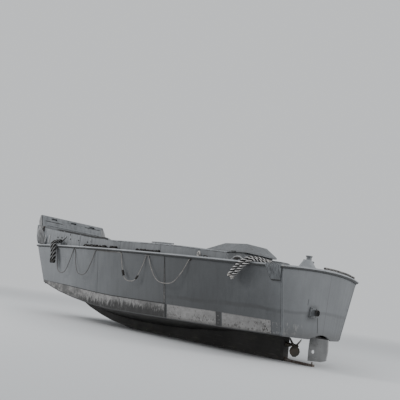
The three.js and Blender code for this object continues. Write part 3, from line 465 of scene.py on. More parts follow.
def ramp_extra(s, c, h):
    """Seams between the plates near the ramp's head; t runs up the ramp."""
    t = s.math("ADD", s.math("MULTIPLY", s.math("SUBTRACT", s.x, HINGE[0] - OX), math.sin(RAMP_LEAN)), s.math("MULTIPLY", s.math("SUBTRACT", s.z, HINGE[1]), math.cos(RAMP_LEAN)))
    for at, y, half in ((2.240, 0.80, 0.335), (2.307, -0.805, 0.32), (2.336, -0.84, 0.02)):
        line = s.math("MULTIPLY", s.band(t, at, 0.010, 0.007), s.band(s.y, y, half, 0.01))
        c = s.mix(s.math("MULTIPLY", line, 0.95), c, grey(0.012, 0.0))
        h = s.math("SUBTRACT", h, s.math("MULTIPLY", line, 2.0))
    return c, h


def rope_extra(s, c):
    """The grab rope is dark with tar forward and bleached aft."""
    return s.mix(s.range(s.x, 5.6 - OX, 6.2 - OX, 0.0, 0.62), c, grey(0.04, 0.03))


def fender_extra(s, c):
    """Light frayed foot."""
    return s.mix(s.range(s.z, 1.66, 1.76, 0.55, 0.0), c, grey(0.50, 0.04))


def metal(name, tone, rough=0.5, metallic=0.8, rust=0.3, rust_tone=(0.075, 0.048, 0.033), seed=0.0):
    s = Skin(name, rough, metallic, 0.5)
    n = s.noise(16, 6, 0.7, seed=seed)
    fine = s.noise(120, 3, 0.6, seed=seed + 1)
    m = s.range(n, 0.58 - rust * 0.2, 0.68 - rust * 0.2)
    c = s.mix(s.math("MULTIPLY", m, 0.9), s.shade(tone, s.range(fine, 0.3, 0.7, 0.85, 1.08)), rust_tone)
    s.put(s.b.inputs["Metallic"], s.math("MULTIPLY", s.math("SUBTRACT", 1.0, m), metallic))
    return s.done(c, s.range(n, 0.35, 0.7, rough - 0.1, rough + 0.3), s.math("ADD", s.math("MULTIPLY", n, 1.0), s.math("MULTIPLY", fine, 0.5)), 0.35, 0.002)


def fibre(name, tone, dark, warm=0.10, seed=0.0, groove_shade=0.0, extra=None, gap=(0.12, 0.75)):
    """Laid rope: yarns, dirt in patches, painted shade in the grooves between strands, frayed light fibres."""
    s = Skin(name, 0.95, 0.0, 0.12)
    yarn = s.noise(1.0, 4, 0.7, (230, 230, 120), seed)
    dirt = s.noise(9, 5, 0.65, seed=seed + 1)
    fray = s.noise(90, 5, 0.75, seed=seed + 2)
    c = s.mix(s.range(dirt, 0.35, 0.7), grey(tone, warm), grey(dark, warm))
    c = s.shade(c, s.range(yarn, 0.25, 0.75, 0.62, 1.18))
    c = s.mix(s.range(fray, 0.62, 0.70, 0.0, 0.5), c, grey(min(tone * 1.7, 0.8), warm * 0.8))
    if extra:
        c = extra(s, c)
    if groove_shade:
        a = s.t.nodes.new("ShaderNodeAttribute")
        a.attribute_name = "groove_shade"
        # painted shade: darker in the grooves between the strands
        c = s.mix(s.math("MULTIPLY", s.range(a.outputs["Fac"], *gap), groove_shade), c, grey(0.012, 0.03))
    return s.done(c, 0.95, s.math("ADD", yarn, s.math("MULTIPLY", fray, 0.6)), 0.7, 0.003)


M = {
    "planking": paint("planking_paint", HULL_G, seed=1, extra=planking_extra, mottle=0.15, streak=0.08),
    "armour": paint("armour_paint", HULL_G * 1.02, seed=2, extra=armour_extra, mottle=0.13, streak=0.07, chips=0.12, chip_tone=(0.22, 0.2, 0.18)),
    "transom": paint("transom_paint", HULL_G * 1.03, seed=3, extra=transom_extra, mottle=0.14, streak=0.03),
    "board": paint("board_paint", 0.27, warm=0.02, seed=4, extra=board_extra, mottle=0.2, streak=0.05, grain=0.12, bump=0.5),
    "coaming": paint("coaming_paint", HULL_G * 1.12, seed=5, mottle=0.18, streak=0.16, chips=0.25, chip_tone=(0.34, 0.32, 0.29)),
    "bulwark": paint("bulwark_paint", HULL_G * 1.32, seed=35, mottle=0.18, streak=0.16, chips=0.25, chip_tone=(0.34, 0.32, 0.29)),
    "inside": paint("inside_paint", 0.165, seed=6, mottle=0.22, streak=0.22, chips=0.35, chip_tone=(0.30, 0.25, 0.19), grain=0.06),
    "rail": paint("rail_paint", 0.33, seed=7, mottle=0.28, streak=0.05, chips=0.5, chip_tone=(0.42, 0.38, 0.32), grain=0.14, vertical=False, extra=rail_extra),
    "exhaust": paint("exhaust_paint", 0.13, seed=27, mottle=0.2, streak=0.0, chips=0.2, chip_tone=(0.08, 0.06, 0.045), rust=0.1, extra=exhaust_extra),
    "strip": paint("chine_strip_paint", 0.056, warm=0.0, seed=28, mottle=0.3, streak=0.1, chips=0.4, chip_tone=(0.13, 0.12, 0.11)),
    "cap": paint("bulwark_cap_shadow_paint", 0.012, warm=0.0, seed=29, mottle=0.3, streak=0.0, chips=0.12, chip_tone=(0.06, 0.06, 0.058), extra=cap_shadow_extra),
    "light": paint("light_fitting_paint", 0.34, warm=0.0, seed=30, mottle=0.2, streak=0.05, chips=0.3, chip_tone=(0.12, 0.10, 0.08)),
    "deck": paint("deck_paint", 0.13, seed=8, mottle=0.25, streak=0.0, chips=0.25, chip_tone=(0.3, 0.27, 0.22), extra=deck_extra, rough=0.8, vertical=False),
    "tread": paint("tread_paint", 0.12, seed=9, mottle=0.25, streak=0.0, chips=0.5, chip_tone=(0.32, 0.27, 0.2), extra=tread_extra, rough=0.82, vertical=False, grain=0.12),
    "steel": paint("steel_paint", 0.165, seed=10, mottle=0.18, streak=0.12, chips=0.3, chip_tone=(0.1, 0.07, 0.05), rust=0.25, spec=0.5, rough=0.52),
    "ramp": paint("ramp_paint", 0.26, seed=11, extra=ramp_extra, mottle=0.2, streak=0.2, chips=0.3, chip_tone=(0.1, 0.075, 0.055), rust=0.2, spec=0.5, rough=0.55),
    "bottom": paint("bottom_paint", 0.05, warm=0.03, seed=12, mottle=0.3, streak=0.0, extra=weed_extra, rough=0.75, vertical=False, bump=0.4),
    "keel": paint("keel_paint", 0.055, warm=0.05, seed=13, mottle=0.35, streak=0.0, extra=weed_extra, rough=0.7, vertical=False, grain=0.15, bump=0.45),
    "rudder": paint("rudder_paint", 0.34, warm=0.0, seed=14, extra=rudder_extra, mottle=0.2, streak=0.08, rust=0.1, chips=0.15, chip_tone=(0.14, 0.12, 0.10)),
    "vent": paint("ventilator_paint", 0.30, seed=15, mottle=0.15, streak=0.12, chips=0.2, chip_tone=(0.12, 0.09, 0.07)),
    "rust": metal("rusty_steel", (0.19, 0.17, 0.155), 0.5, 0.7, 0.75, seed=16),
    "bare": metal("worn_steel", (0.30, 0.29, 0.28), 0.42, 0.8, 0.35, seed=17),
    "black": metal("black_iron", (0.030, 0.028, 0.027), 0.6, 0.3, 0.5, (0.045, 0.032, 0.026), seed=18),
    "bronze": metal("bronze", (0.085, 0.070, 0.056), 0.5, 0.5, 0.5, (0.05, 0.052, 0.042), seed=19),
    "caulk": paint("caulking", 0.022, warm=0.0, seed=20, mottle=0.3, streak=0.0, rough=0.85),
    "rope": fibre("manila_rope", 0.36, 0.22, 0.05, 21, 0.6, rope_extra),
    "line": fibre("mooring_line", 0.30, 0.13, 0.04, 28, 1.0, None, (0.02, 0.22)),
    "fender": fibre("fender_rope", 0.66, 0.34, 0.02, 22, 1.0, fender_extra, (0.012, 0.17)),
    "bow_fender": fibre("tarred_fender", 0.26, 0.09, 0.0, 33, 1.0, None, (0.008, 0.13)),
    "dark_rope": fibre("tarred_rope", 0.055, 0.03, 0.05, 23, 0.6),
    "pad": paint("canvas_pad", 0.195, seed=31, mottle=0.3, streak=0.5, chips=0.1, chip_tone=(0.2, 0.2, 0.2)),
    # painted light: paler paint for the cheek boards' shaded after face
    "cheek": paint("cheek_board_lit_paint", 0.40, warm=0.0, seed=32, mottle=0.25, streak=0.35, chips=0.3, chip_tone=(0.12, 0.11, 0.10), grain=0.1),
    "twine": fibre("whipping_twine", 0.55, 0.40, 0.05, 24),
    "bead": paint("corner_bead_paint", HULL_G * 0.95, seed=34, mottle=0.15, streak=0.05),
    "rubber": paint("black_rubber", 0.025, warm=0.0, seed=25, mottle=0.3, streak=0.0, rough=0.7),
    "dial": paint("dial_face", 0.03, warm=0.0, seed=26, mottle=0.1, streak=0.0, rough=0.35),
}

CARRIED = {
    "planking": ["port_side_planking", "starboard_side_planking"],
    "transom": ["transom"],
    "bottom": ["hull_bottom"],
    "keel": ["keel"],
    "rail": ["port_rub_rail", "starboard_rub_rail", "transom_rail"],
    "deck": ["aft_deck", "port_side_deck", "starboard_side_deck", "cockpit_sole"],
    "tread": ["cargo_deck"],
    "coaming": ["port_coaming", "starboard_coaming", "port_bow_post", "starboard_bow_post", "bow_head_log"],
    "bulwark": ["port_bow_bulwark", "starboard_bow_bulwark"],
    "inside": ["port_well_lining", "starboard_well_lining", "well_bulkhead", "cockpit_bulkhead", "engine_box"],
    "steel": ["steering_pedestal", "engine_controls", "ramp_winch", "port_aft_cockpit", "starboard_aft_cockpit", "towing_bitt", "engine_hatch_lid"],
    "black": ["engine"],
    "ramp": ["bow_ramp"],
    "rudder": ["rudder"],
    "vent": ["stern_ventilator"],
    "rust": ["rudder_heel"],
    "exhaust": ["exhaust_pipe"],
    "bare": ["steering_wheel"],
    "bronze": ["stern_bearing", "propeller_shaft", "propeller"],
}
for key, names in CARRIED.items():
    for n in names:
        ob = NODES[n]
        ob.data.materials.clear()
        ob.data.materials.append(M[key])


# ---------------------------------------------------------------- mesh helpers
TREES = {}


def tree(node):
    if node not in TREES:
        d = NODES[node].data
        TREES[node] = BVHTree.FromPolygons([v.co for v in d.vertices], [tuple(p.vertices) for p in d.polygons])
    return TREES[node]


def hit(node, origin, direction):
    place, normal, _, _ = tree(node).ray_cast(Vector(origin), Vector(direction).normalized())
    if place is None:
        return None
    d = Vector(direction)
    return place, (normal if normal.dot(d) < 0 else -normal)


def on_side(x, z, side=1):
    """Point and outward normal on the planking at boat x and z."""
    got = hit(("port" if side > 0 else "starboard") + "_side_planking", (x - OX, side * 3.0, z), (0, -side, 0))
    if got is None:
        v = min(max((table(HULL, x, 0, 2) - z) / 1.5, 0), 1)
        return Vector((x - OX, side * (sheer_y(x) * (1 - v) + chine_y(x) * v), z)), Vector((0, side, 0))
    return got


def smooth_part(ob, angle=35.0):
    me = ob.data
    me.polygons.foreach_set("use_smooth", [True] * len(me.polygons))
    me.set_sharp_from_angle(angle=math.radians(angle))


class Kit:
    """Collects many small shapes of one piece."""

    def __init__(self):
        self.v, self.f = [], []

    def add(self, verts, faces):
        o = len(self.v)
        self.v += [tuple(v) for v in verts]
        self.f += [tuple(i + o for i in q) for q in faces]

    def box(self, x0, x1, y0, y1, z0, z1, m=None):
        vs = [Vector((x, y, z)) for x in (x0, x1) for y in (y0, y1) for z in (z0, z1)]
        if m is not None:
            vs = [m @ v for v in vs]
        fs = [(0, 1, 3, 2), (4, 6, 7, 5), (0, 4, 5, 1), (2, 3, 7, 6), (0, 2, 6, 4), (1, 5, 7, 3)]
        if m is not None and m.determinant() < 0:
            fs = [tuple(reversed(q)) for q in fs]
        self.add(vs, fs)

    def loft(self, rings, caps=True, closed=False):
        n, k = len(rings[0]), len(rings)
        fs = []
        for i in range(k if closed else k - 1):
            a, b = i * n, ((i + 1) % k) * n
            fs += [(a + j, a + (j + 1) % n, b + (j + 1) % n, b + j) for j in range(n)]
        if caps and not closed:
            fs += [tuple(reversed(range(n))), tuple(range((k - 1) * n, k * n))]
        self.add([p for r in rings for p in r], fs)

    def rod(self, a, b, r, n=12, r2=None):
        a, b = Vector(a), Vector(b)
        d = (b - a).normalized()
        u = d.orthogonal().normalized()
        w = d.cross(u)
        self.loft([[c + (u * math.cos(t) + w * math.sin(t)) * q for t in [2 * math.pi * j / n for j in range(n)]] for c, q in ((a, r), (b, r if r2 is None else r2))])

    def dome(self, c, normal, r, h, n=8, sink=0.002):
        """Low round head of a bolt or rivet."""
        c, d = Vector(c), Vector(normal).normalized()
        u = d.orthogonal().normalized()
        w = d.cross(u)
        rings = []
        for rr, hh in ((r, -sink), (r, h * 0.45), (r * 0.62, h * 0.9)):
            rings.append([c + d * hh + (u * math.cos(2 * math.pi * j / n) + w * math.sin(2 * math.pi * j / n)) * rr for j in range(n)])
        self.loft(rings)

    def tube(self, points, r, n=8, closed=False, flat=None):
        pts = [Vector(p) for p in points]
        k = len(pts)
        rings, u = [], None
        for i, p in enumerate(pts):
            d = (pts[(i + 1) % k] - pts[i - 1]) if closed else (pts[min(i + 1, k - 1)] - pts[max(i - 1, 0)])
            d.normalize()
            u = d.orthogonal() if u is None else u - d * u.dot(d)
            u.normalize()
            w = d.cross(u)
            rr = r[i] if isinstance(r, (list, tuple)) else r
            rings.append([p + u * math.cos(2 * math.pi * j / n) * rr + w * math.sin(2 * math.pi * j / n) * rr for j in range(n)])
        self.loft(rings, closed=closed)

    def ring(self, c, normal, R, r, n=28, m=8):
        d = Vector(normal).normalized()
        u = d.orthogonal().normalized()
        w = d.cross(u)
        c = Vector(c)
        rings = []
        for i in range(n):
            t = 2 * math.pi * i / n
            out = u * math.cos(t) + w * math.sin(t)
            rings.append([c + out * (R + r * math.cos(2 * math.pi * j / m)) + d * r * math.sin(2 * math.pi * j / m) for j in range(m)])
        self.loft(rings, closed=True)

    def turned(self, c, profile, n=24):
        """Profile of (radius, height) about a vertical axis through c."""
        c = Vector(c)
        self.loft([[c + Vector((r * math.cos(2 * math.pi * j / n), r * math.sin(2 * math.pi * j / n), h)) for j in range(n)] for r, h in profile])

    def skin(self, grid, thick, side=1):
        """Plate over a grid of (point, normal): outer face out by thick, and its rim."""
        rows, cols = len(grid), len(grid[0])
        outer = [p + n * thick for r in grid for p, n in r]
        inner = [p + n * 0.0006 for r in grid for p, n in r]
        k = rows * cols
        fs = []
        for i in range(rows - 1):
            for j in range(cols - 1):
                a, b, c, d = i * cols + j, i * cols + j + 1, (i + 1) * cols + j + 1, (i + 1) * cols + j
                fs += [(a, b, c, d), (a + k, d + k, c + k, b + k)]
        loop = [j for j in range(cols)] + [i * cols + cols - 1 for i in range(1, rows)] + [(rows - 1) * cols + j for j in range(cols - 2, -1, -1)] + [i * cols for i in range(rows - 2, 0, -1)]
        for a, b in zip(loop, loop[1:] + loop[:1]):
            fs.append((b, a, a + k, b + k))
        if side < 0:
            fs = [tuple(reversed(q)) for q in fs]
        self.add(outer + inner, fs)

    def make(self, name, mat, body="hull", slot=None, bevel=0.0, segments=2, smooth=35.0, replaces=()):
        me = bpy.data.meshes.new(name)
        me.from_pydata(self.v, [], self.f)
        me.update()
        me.materials.append(mat)
        ob = bpy.data.objects.new(name, me)
        bpy.context.scene.collection.objects.link(ob)
        if smooth:
            smooth_part(ob, smooth)
        if bevel:
            b = ob.modifiers.new("bevel", "BEVEL")
            b.width, b.segments, b.limit_method, b.angle_limit = bevel, segments, "ANGLE", math.radians(40)
            b.harden_normals = False
        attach(ob, body)
        if replaces:
            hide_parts(*replaces)
        return ob


# ----------------------------------------------------------------------- cords
def catmull(points, steps):
    """Centripetal curve through points, steps to each stretch."""
    pts = [Vector(p) for p in points]
    out = []
    for i in range(len(pts) - 1):
        p1, p2 = pts[i], pts[i + 1]
        p0 = pts[i - 1] if i else p1 * 2 - p2
        p3 = pts[i + 2] if i + 2 < len(pts) else p2 * 2 - p1
        d0, d1, d2 = ((p1 - p0).length ** 0.5, (p2 - p1).length ** 0.5, (p3 - p2).length ** 0.5)
        m1 = ((p1 - p0) / d0 - (p2 - p0) / (d0 + d1) + (p2 - p1) / d1) * d1
        m2 = ((p2 - p1) / d1 - (p3 - p1) / (d1 + d2) + (p3 - p2) / d2) * d1
        for k in range(steps):
            t = k / steps
            out.append(p1 * (2 * t**3 - 3 * t**2 + 1) + m1 * (t**3 - 2 * t**2 + t) + p2 * (3 * t**2 - 2 * t**3) + m2 * (t**3 - t**2))
    out.append(pts[-1].copy())
    return out


def spaced(line, step):
    a = np.array([tuple(p) for p in line])
    along = np.concatenate([[0], np.cumsum(np.linalg.norm(np.diff(a, axis=0), axis=1))])
    at = np.linspace(0, along[-1], max(2, int(math.ceil(along[-1] / step)) + 1))
    return [Vector([float(np.interp(s, along, a[:, k])) for k in range(3)]) for s in at], float(along[-1])


def rope(name, route, radius, strands, lay, depth, step, sides, mat, node, slot, hand=1, rough_end=True):
    line, length = spaced(catmull(route, 10), step)
    k = Kit()
    grooves = []
    rings, u = [], None
    for i, p in enumerate(line):
        d = line[min(i + 1, len(line) - 1)] - line[max(i - 1, 0)]
        d.normalize()
        u = d.orthogonal() if u is None else u - d * u.dot(d)
        u.normalize()
        w = d.cross(u)
        s = length * i / (len(line) - 1)
        turn = hand * 2 * math.pi * s / lay
        end = min(1.0, math.sqrt(max(0.0, 1 - (1 - min(s, length - s) / (0.5 * radius)) ** 2)) if min(s, length - s) < 0.5 * radius else 1.0)
        end = 0.45 + 0.55 * end
        ring = []
        for j in range(sides):
            a = 2 * math.pi * j / sides
            lobe = abs(math.cos(0.5 * strands * (a - turn)))
            r = radius * (1 - depth + depth * lobe**0.75) * end
            # how deep in a groove each point lies, for the painted shade there
            grooves.append((1 - lobe) ** 1.6)
            ring.append(p + (u * math.cos(a) + w * math.sin(a)) * r)
        rings.append(ring)
    k.loft(rings)
    ob = k.make(name, mat, slot=slot, smooth=60.0, replaces=(node,))
    ob.data.attributes.new("groove_shade", "FLOAT", "POINT").data.foreach_set("value", grooves)
    return line, length


def whipping(name, line_points, radius, mat, turns=7):
    """Turns of twine round a rope's end."""
    k = Kit()
    a, b = Vector(line_points[0]), Vector(line_points[1])
    d = (b - a).normalized()
    for i in range(turns):
        k.ring(a + (b - a) * (i / (turns - 1)), d, radius, radius * 0.07, 20, 6)
    return k.make(name, mat, slot="rope", smooth=60)


def grab_route(side):
    pts, last = [], len(GRAB_ROPE) - 1
    for i, (x, sag) in enumerate(GRAB_ROPE):
        steep_in, steep_out = i > 0 and GRAB_ROPE[i - 1][1] > 0.1, sag > 0.1
        for a in (-TURN, -TURN / 2, 0.0, TURN / 2, TURN):
            if (a < 0 and not steep_in) or (a > 0 and not steep_out):
                continue
            xx = x - TURN_R * math.sin(a)
            pts.append(P(xx, side * (sheer_y(xx) + 0.008), sheer_z(xx) + rail_lift(xx) - ROPE_DROP - TURN_R * (1 - math.cos(a))))
        if i < last:
            x2, d, drop = GRAB_ROPE[i + 1][0], TURN_R * math.sin(TURN), TURN_R * (1 - math.cos(TURN))
            for f in (0.12, 0.32, 0.68, 0.88) if steep_out else (0.5,):
                xx = x - d + (x2 - x + 2 * d) * f
                low = (drop if steep_out else 0) + (sag - (drop if steep_out else 0)) * (1 - abs(2 * f - 1) ** 2.3)
                pts.append(P(xx, side * (sheer_y(xx) + 0.008), sheer_z(xx) + rail_lift(xx) - ROPE_DROP - low))
    return pts


def rope_lump(name, line, at, long, radius, mat):
    """Knot or toggle worked on the rope: wraps of line of uneven size."""
    near = min(range(len(line)), key=lambda i: (line[i] - at).length)
    rnd = random.Random(name)
    k = Kit()
    c = line[near]
    d = (line[min(near + 3, len(line) - 1)] - line[max(near - 3, 0)]).normalized()
    turns = 6
    for i in range(turns):
        t = (i / (turns - 1) - 0.5) * long
        tilt = Vector((rnd.uniform(-0.25, 0.25), rnd.uniform(-0.2, 0.2), rnd.uniform(-0.25, 0.25)))
        k.ring(c + d * t, d + tilt, radius * rnd.uniform(0.62, 0.8), radius * 0.30, 18, 8)
    k.tube([c + d * (-0.6 * long), c + d * (-0.3 * long), c + d * 0.3 * long, c + d * 0.6 * long], [radius * 0.4, radius * 0.75, radius * 0.7, radius * 0.4], 10)
    return k.make(name, mat, slot="dark_rope", smooth=60)


for side, word in ((1, "port"), (-1, "starboard")):
    route = grab_route(side)
    fine, _ = spaced(catmull(route, 10), 0.01)
    lumps = []
    if side > 0:
        lumps = [rope_lump("port_rope_toggle", fine, P(5.45, 1.60, 1.49), 0.13, 0.034, M["dark_rope"]), rope_lump("port_rope_splice", fine, P(4.87, 1.60, 1.51), 0.10, 0.026, M["dark_rope"])]
    rope(word + "_grab_rope_laid", route, GRAB_R, 3, 0.078, 0.30, 0.0078, 15, M["rope"], word + "_grab_rope", "rope")

AFT = ((FENDER_FORWARD, "port_aft_fender_forward", 1), (FENDER_AFTER, "port_aft_fender_after", 1))
for route, node, hand in AFT:
    pts = [P(*p) for p in route]
    line, total = spaced(catmull(pts, 10), 0.01)
    tip = whipping(node + "_whipping", (line[-9], line[-4]), FENDER_R * 1.0, M["twine"], 6)
    root = whipping(node + "_lashing", (line[4], line[9]), FENDER_R * 1.0, M["twine"], 6)
    rope(node + "_laid", pts, FENDER_R, 3, 0.27, 0.42, 0.0065, 56, M["fender"], node, "rope", hand=hand)
for route, node in ((FENDER_BOW, "port_bow_fender"), (FENDER_BOW_AFTER, "port_bow_fender_after")):
    pts = [P(*p) for p in route]
    line, total = spaced(catmull(pts, 10), 0.01)
    tip = whipping(node + "_whipping", (line[-10], line[-4]), BOW_FENDER_R * 1.0, M["dark_rope"], 7)
    rope(node + "_laid", pts, BOW_FENDER_R, 3, 0.38, 0.38, 0.0085, 44, M["bow_fender"], node, "dark_rope")

# mooring line left lying along the head of the transom
LINE_R = 0.026
pts = []
for i in range(16):
    y = 0.3 - 0.1 * i
    f = y / HULL[0][1]
    pts.append(P(0.246 * f * f - 0.012 + 0.007 * math.sin(i * 1.1), y, HULL[0][2] + 0.060 * (1 - f * f) + 0.076))
line, total = spaced(catmull(pts, 10), 0.01)
ends = [whipping("transom_line_whipping_" + tag, pair, LINE_R, M["twine"], 6) for tag, pair in (("port", (line[2], line[6])), ("starboard", (line[-7], line[-3])))]
rope("transom_line_laid", pts, LINE_R, 3, 0.16, 0.32, 0.006, 30, M["line"], "transom_line", "rope")


# ------------------------------------------------------------------ side plates
def relief(x, z, seed):
    return 0.5 + 0.5 * math.sin(2.1 * x + seed) * math.sin(3.3 * z + 1.7 * seed + 0.8 * x)


for side, word in ((1, "port"), (-1, "starboard")):
    k = Kit()
    x_front = lambda z: 10.03 + (z - 0.984) * 0.5018 - 0.012
    for lo, hi, cols in ((3.842, 6.744, 30), (6.752, None, 36)):
        grid = []
        for i in range(12):
            w = i / 11
            row = []
            for j in range(cols + 1):
                u = j / cols
                x = lo
                for _ in range(4):
                    z = armour_z(x) + (sheer_z(x) + rail_lift(x) - 0.070 - armour_z(x)) * w
                    end = hi if hi is not None else x_front(z)
                    x = lo + (end - lo) * u
                p, n = on_side(x, z, side)
                row.append((p + n * 0.0028 * relief(x, z, 1.3 + side), n))
            grid.append(row)
        k.skin(grid, 0.007, side)
    k.make(word + "_armour_plate", M["armour"], slot="armour_paint", bevel=0.002, segments=1, smooth=30)
    # bolts round the plates, and rows that hold the plates to the frames
    b = Kit()
    for x in np.arange(3.90, 9.95, 0.155):
        for z in (armour_z(x) + 0.035, sheer_z(x) + rail_lift(x) - 0.105):
            p, n = on_side(x, z, side)
            b.dome(p + n * 0.008, n, 0.009, 0.005)
    for x in (3.875, 4.85, 5.80, 6.72, 6.78, 7.75, 8.70, 9.60):
        for z in np.arange(armour_z(x) + 0.15, sheer_z(x) - 0.2, 0.17):
            p, n = on_side(x, z, side)
            b.dome(p + n * 0.0085, n, 0.009, 0.005)
    b.make(word + "_armour_bolts", M["armour"], slot="armour_paint", smooth=40)
    # caulked joint aft of the plates
    c = Kit()
    grid = []
    for i in range(24):
        z = 0.56 + (sheer_z(3.82) + rail_lift(3.82) - 0.072 - 0.56) * i / 23
        grid.append([on_side(x - 0.045 * (1 - i / 23), z, side) for x in (3.812, 3.838)])
    c.skin(grid, 0.0025, side)
    c.make(word + "_plate_joint", M["caulk"], slot="hull_paint", smooth=30)
    # light boards low on the side
    for tag, x0, x1 in (("forward", 3.71, 2.09), ("after", 1.91, 0.60)):
        g = Kit()
        grid = []
        for i in range(4):
            row = []
            for j in range(15):
                x = x1 + (x0 - x1) * j / 14
                z0, z1 = chine_z(x) + 0.022, 0.884 - 0.004 * math.sin(2.2 * x)
                row.append(on_side(x, z0 + (z1 - z0) * i / 3, side))
            grid.append(row)
        g.skin(grid, 0.006, side)
        g.make(word + "_chine_board_" + tag, M["board"], slot="rail_paint", bevel=0.003, segments=2, smooth=30)
    # bolts in the strap and along the boards
    b = Kit()
    for x, z in [(2.02, 0.64), (2.02, 0.80), (1.99, 0.71)] + [(x, z) for x in np.arange(0.72, 3.65, 0.29) for z in (0.63, 0.84) if not 1.9 < x < 2.1]:
        p, n = on_side(x, z, side)
        b.dome(p + n * 0.006, n, 0.010, 0.005)
    b.make(word + "_board_bolts", M["bare"], slot="steel_paint", smooth=40)
    # half-round steel strip on the chine
    s = Kit()
    rings = []
    for x in list(np.linspace(0.40, 10.02, 60)):
        p, n = on_side(x, chine_z(x) + 0.016, side)
        up = Vector((0, 0, 1))
        rings.append([p + n * 0.001 + up * 0.013, p + n * 0.010 + up * 0.009, p + n * 0.014, p + n * 0.010 - up * 0.009, p + n * 0.001 - up * 0.013])
    s.loft(rings if side > 0 else [list(reversed(r)) for r in rings])
    s.make(word + "_chine_strip", M["strip"], slot="steel_paint", smooth=50)
    # staples that hold the grab rope
    st = Kit()
    for x, _ in GRAB_ROPE:
        p, n = on_side(x, sheer_z(x) + rail_lift(x) - ROPE_DROP, side)
        rope_y = side * (sheer_y(x) + 0.008)
        for dx in (-0.0, ):
            pts = [Vector((x - OX, p.y - side * 0.004, p.z + 0.0125)), Vector((x - OX, rope_y + side * 0.006, p.z + 0.0125)), Vector((x - OX, rope_y + side * 0.017, p.z + 0.010)),
                   Vector((x - OX, rope_y + side * 0.019, p.z - 0.002)), Vector((x - OX, rope_y + side * 0.015, p.z - 0.014)), Vector((x - OX, rope_y + side * 0.004, p.z - 0.021)), Vector((x - OX, p.y - side * 0.004, p.z - 0.022))]
            st.tube(pts, 0.0045, 8)
        q, m = on_side(x, p.z, side)
        st.rod(q - m * 0.002, q + m * 0.004, 0.034, 16)
    st.make(word + "_rope_staples", M["black"], slot="steel_paint", bevel=0.001, smooth=40)


# --------------------------------------------------------- coaming and bulwark
def top_line(x):
    return table(COAMING_TOP, x, 0, 1) if x < 6.599 else table(BULWARK_TOP, x, 0, 1)


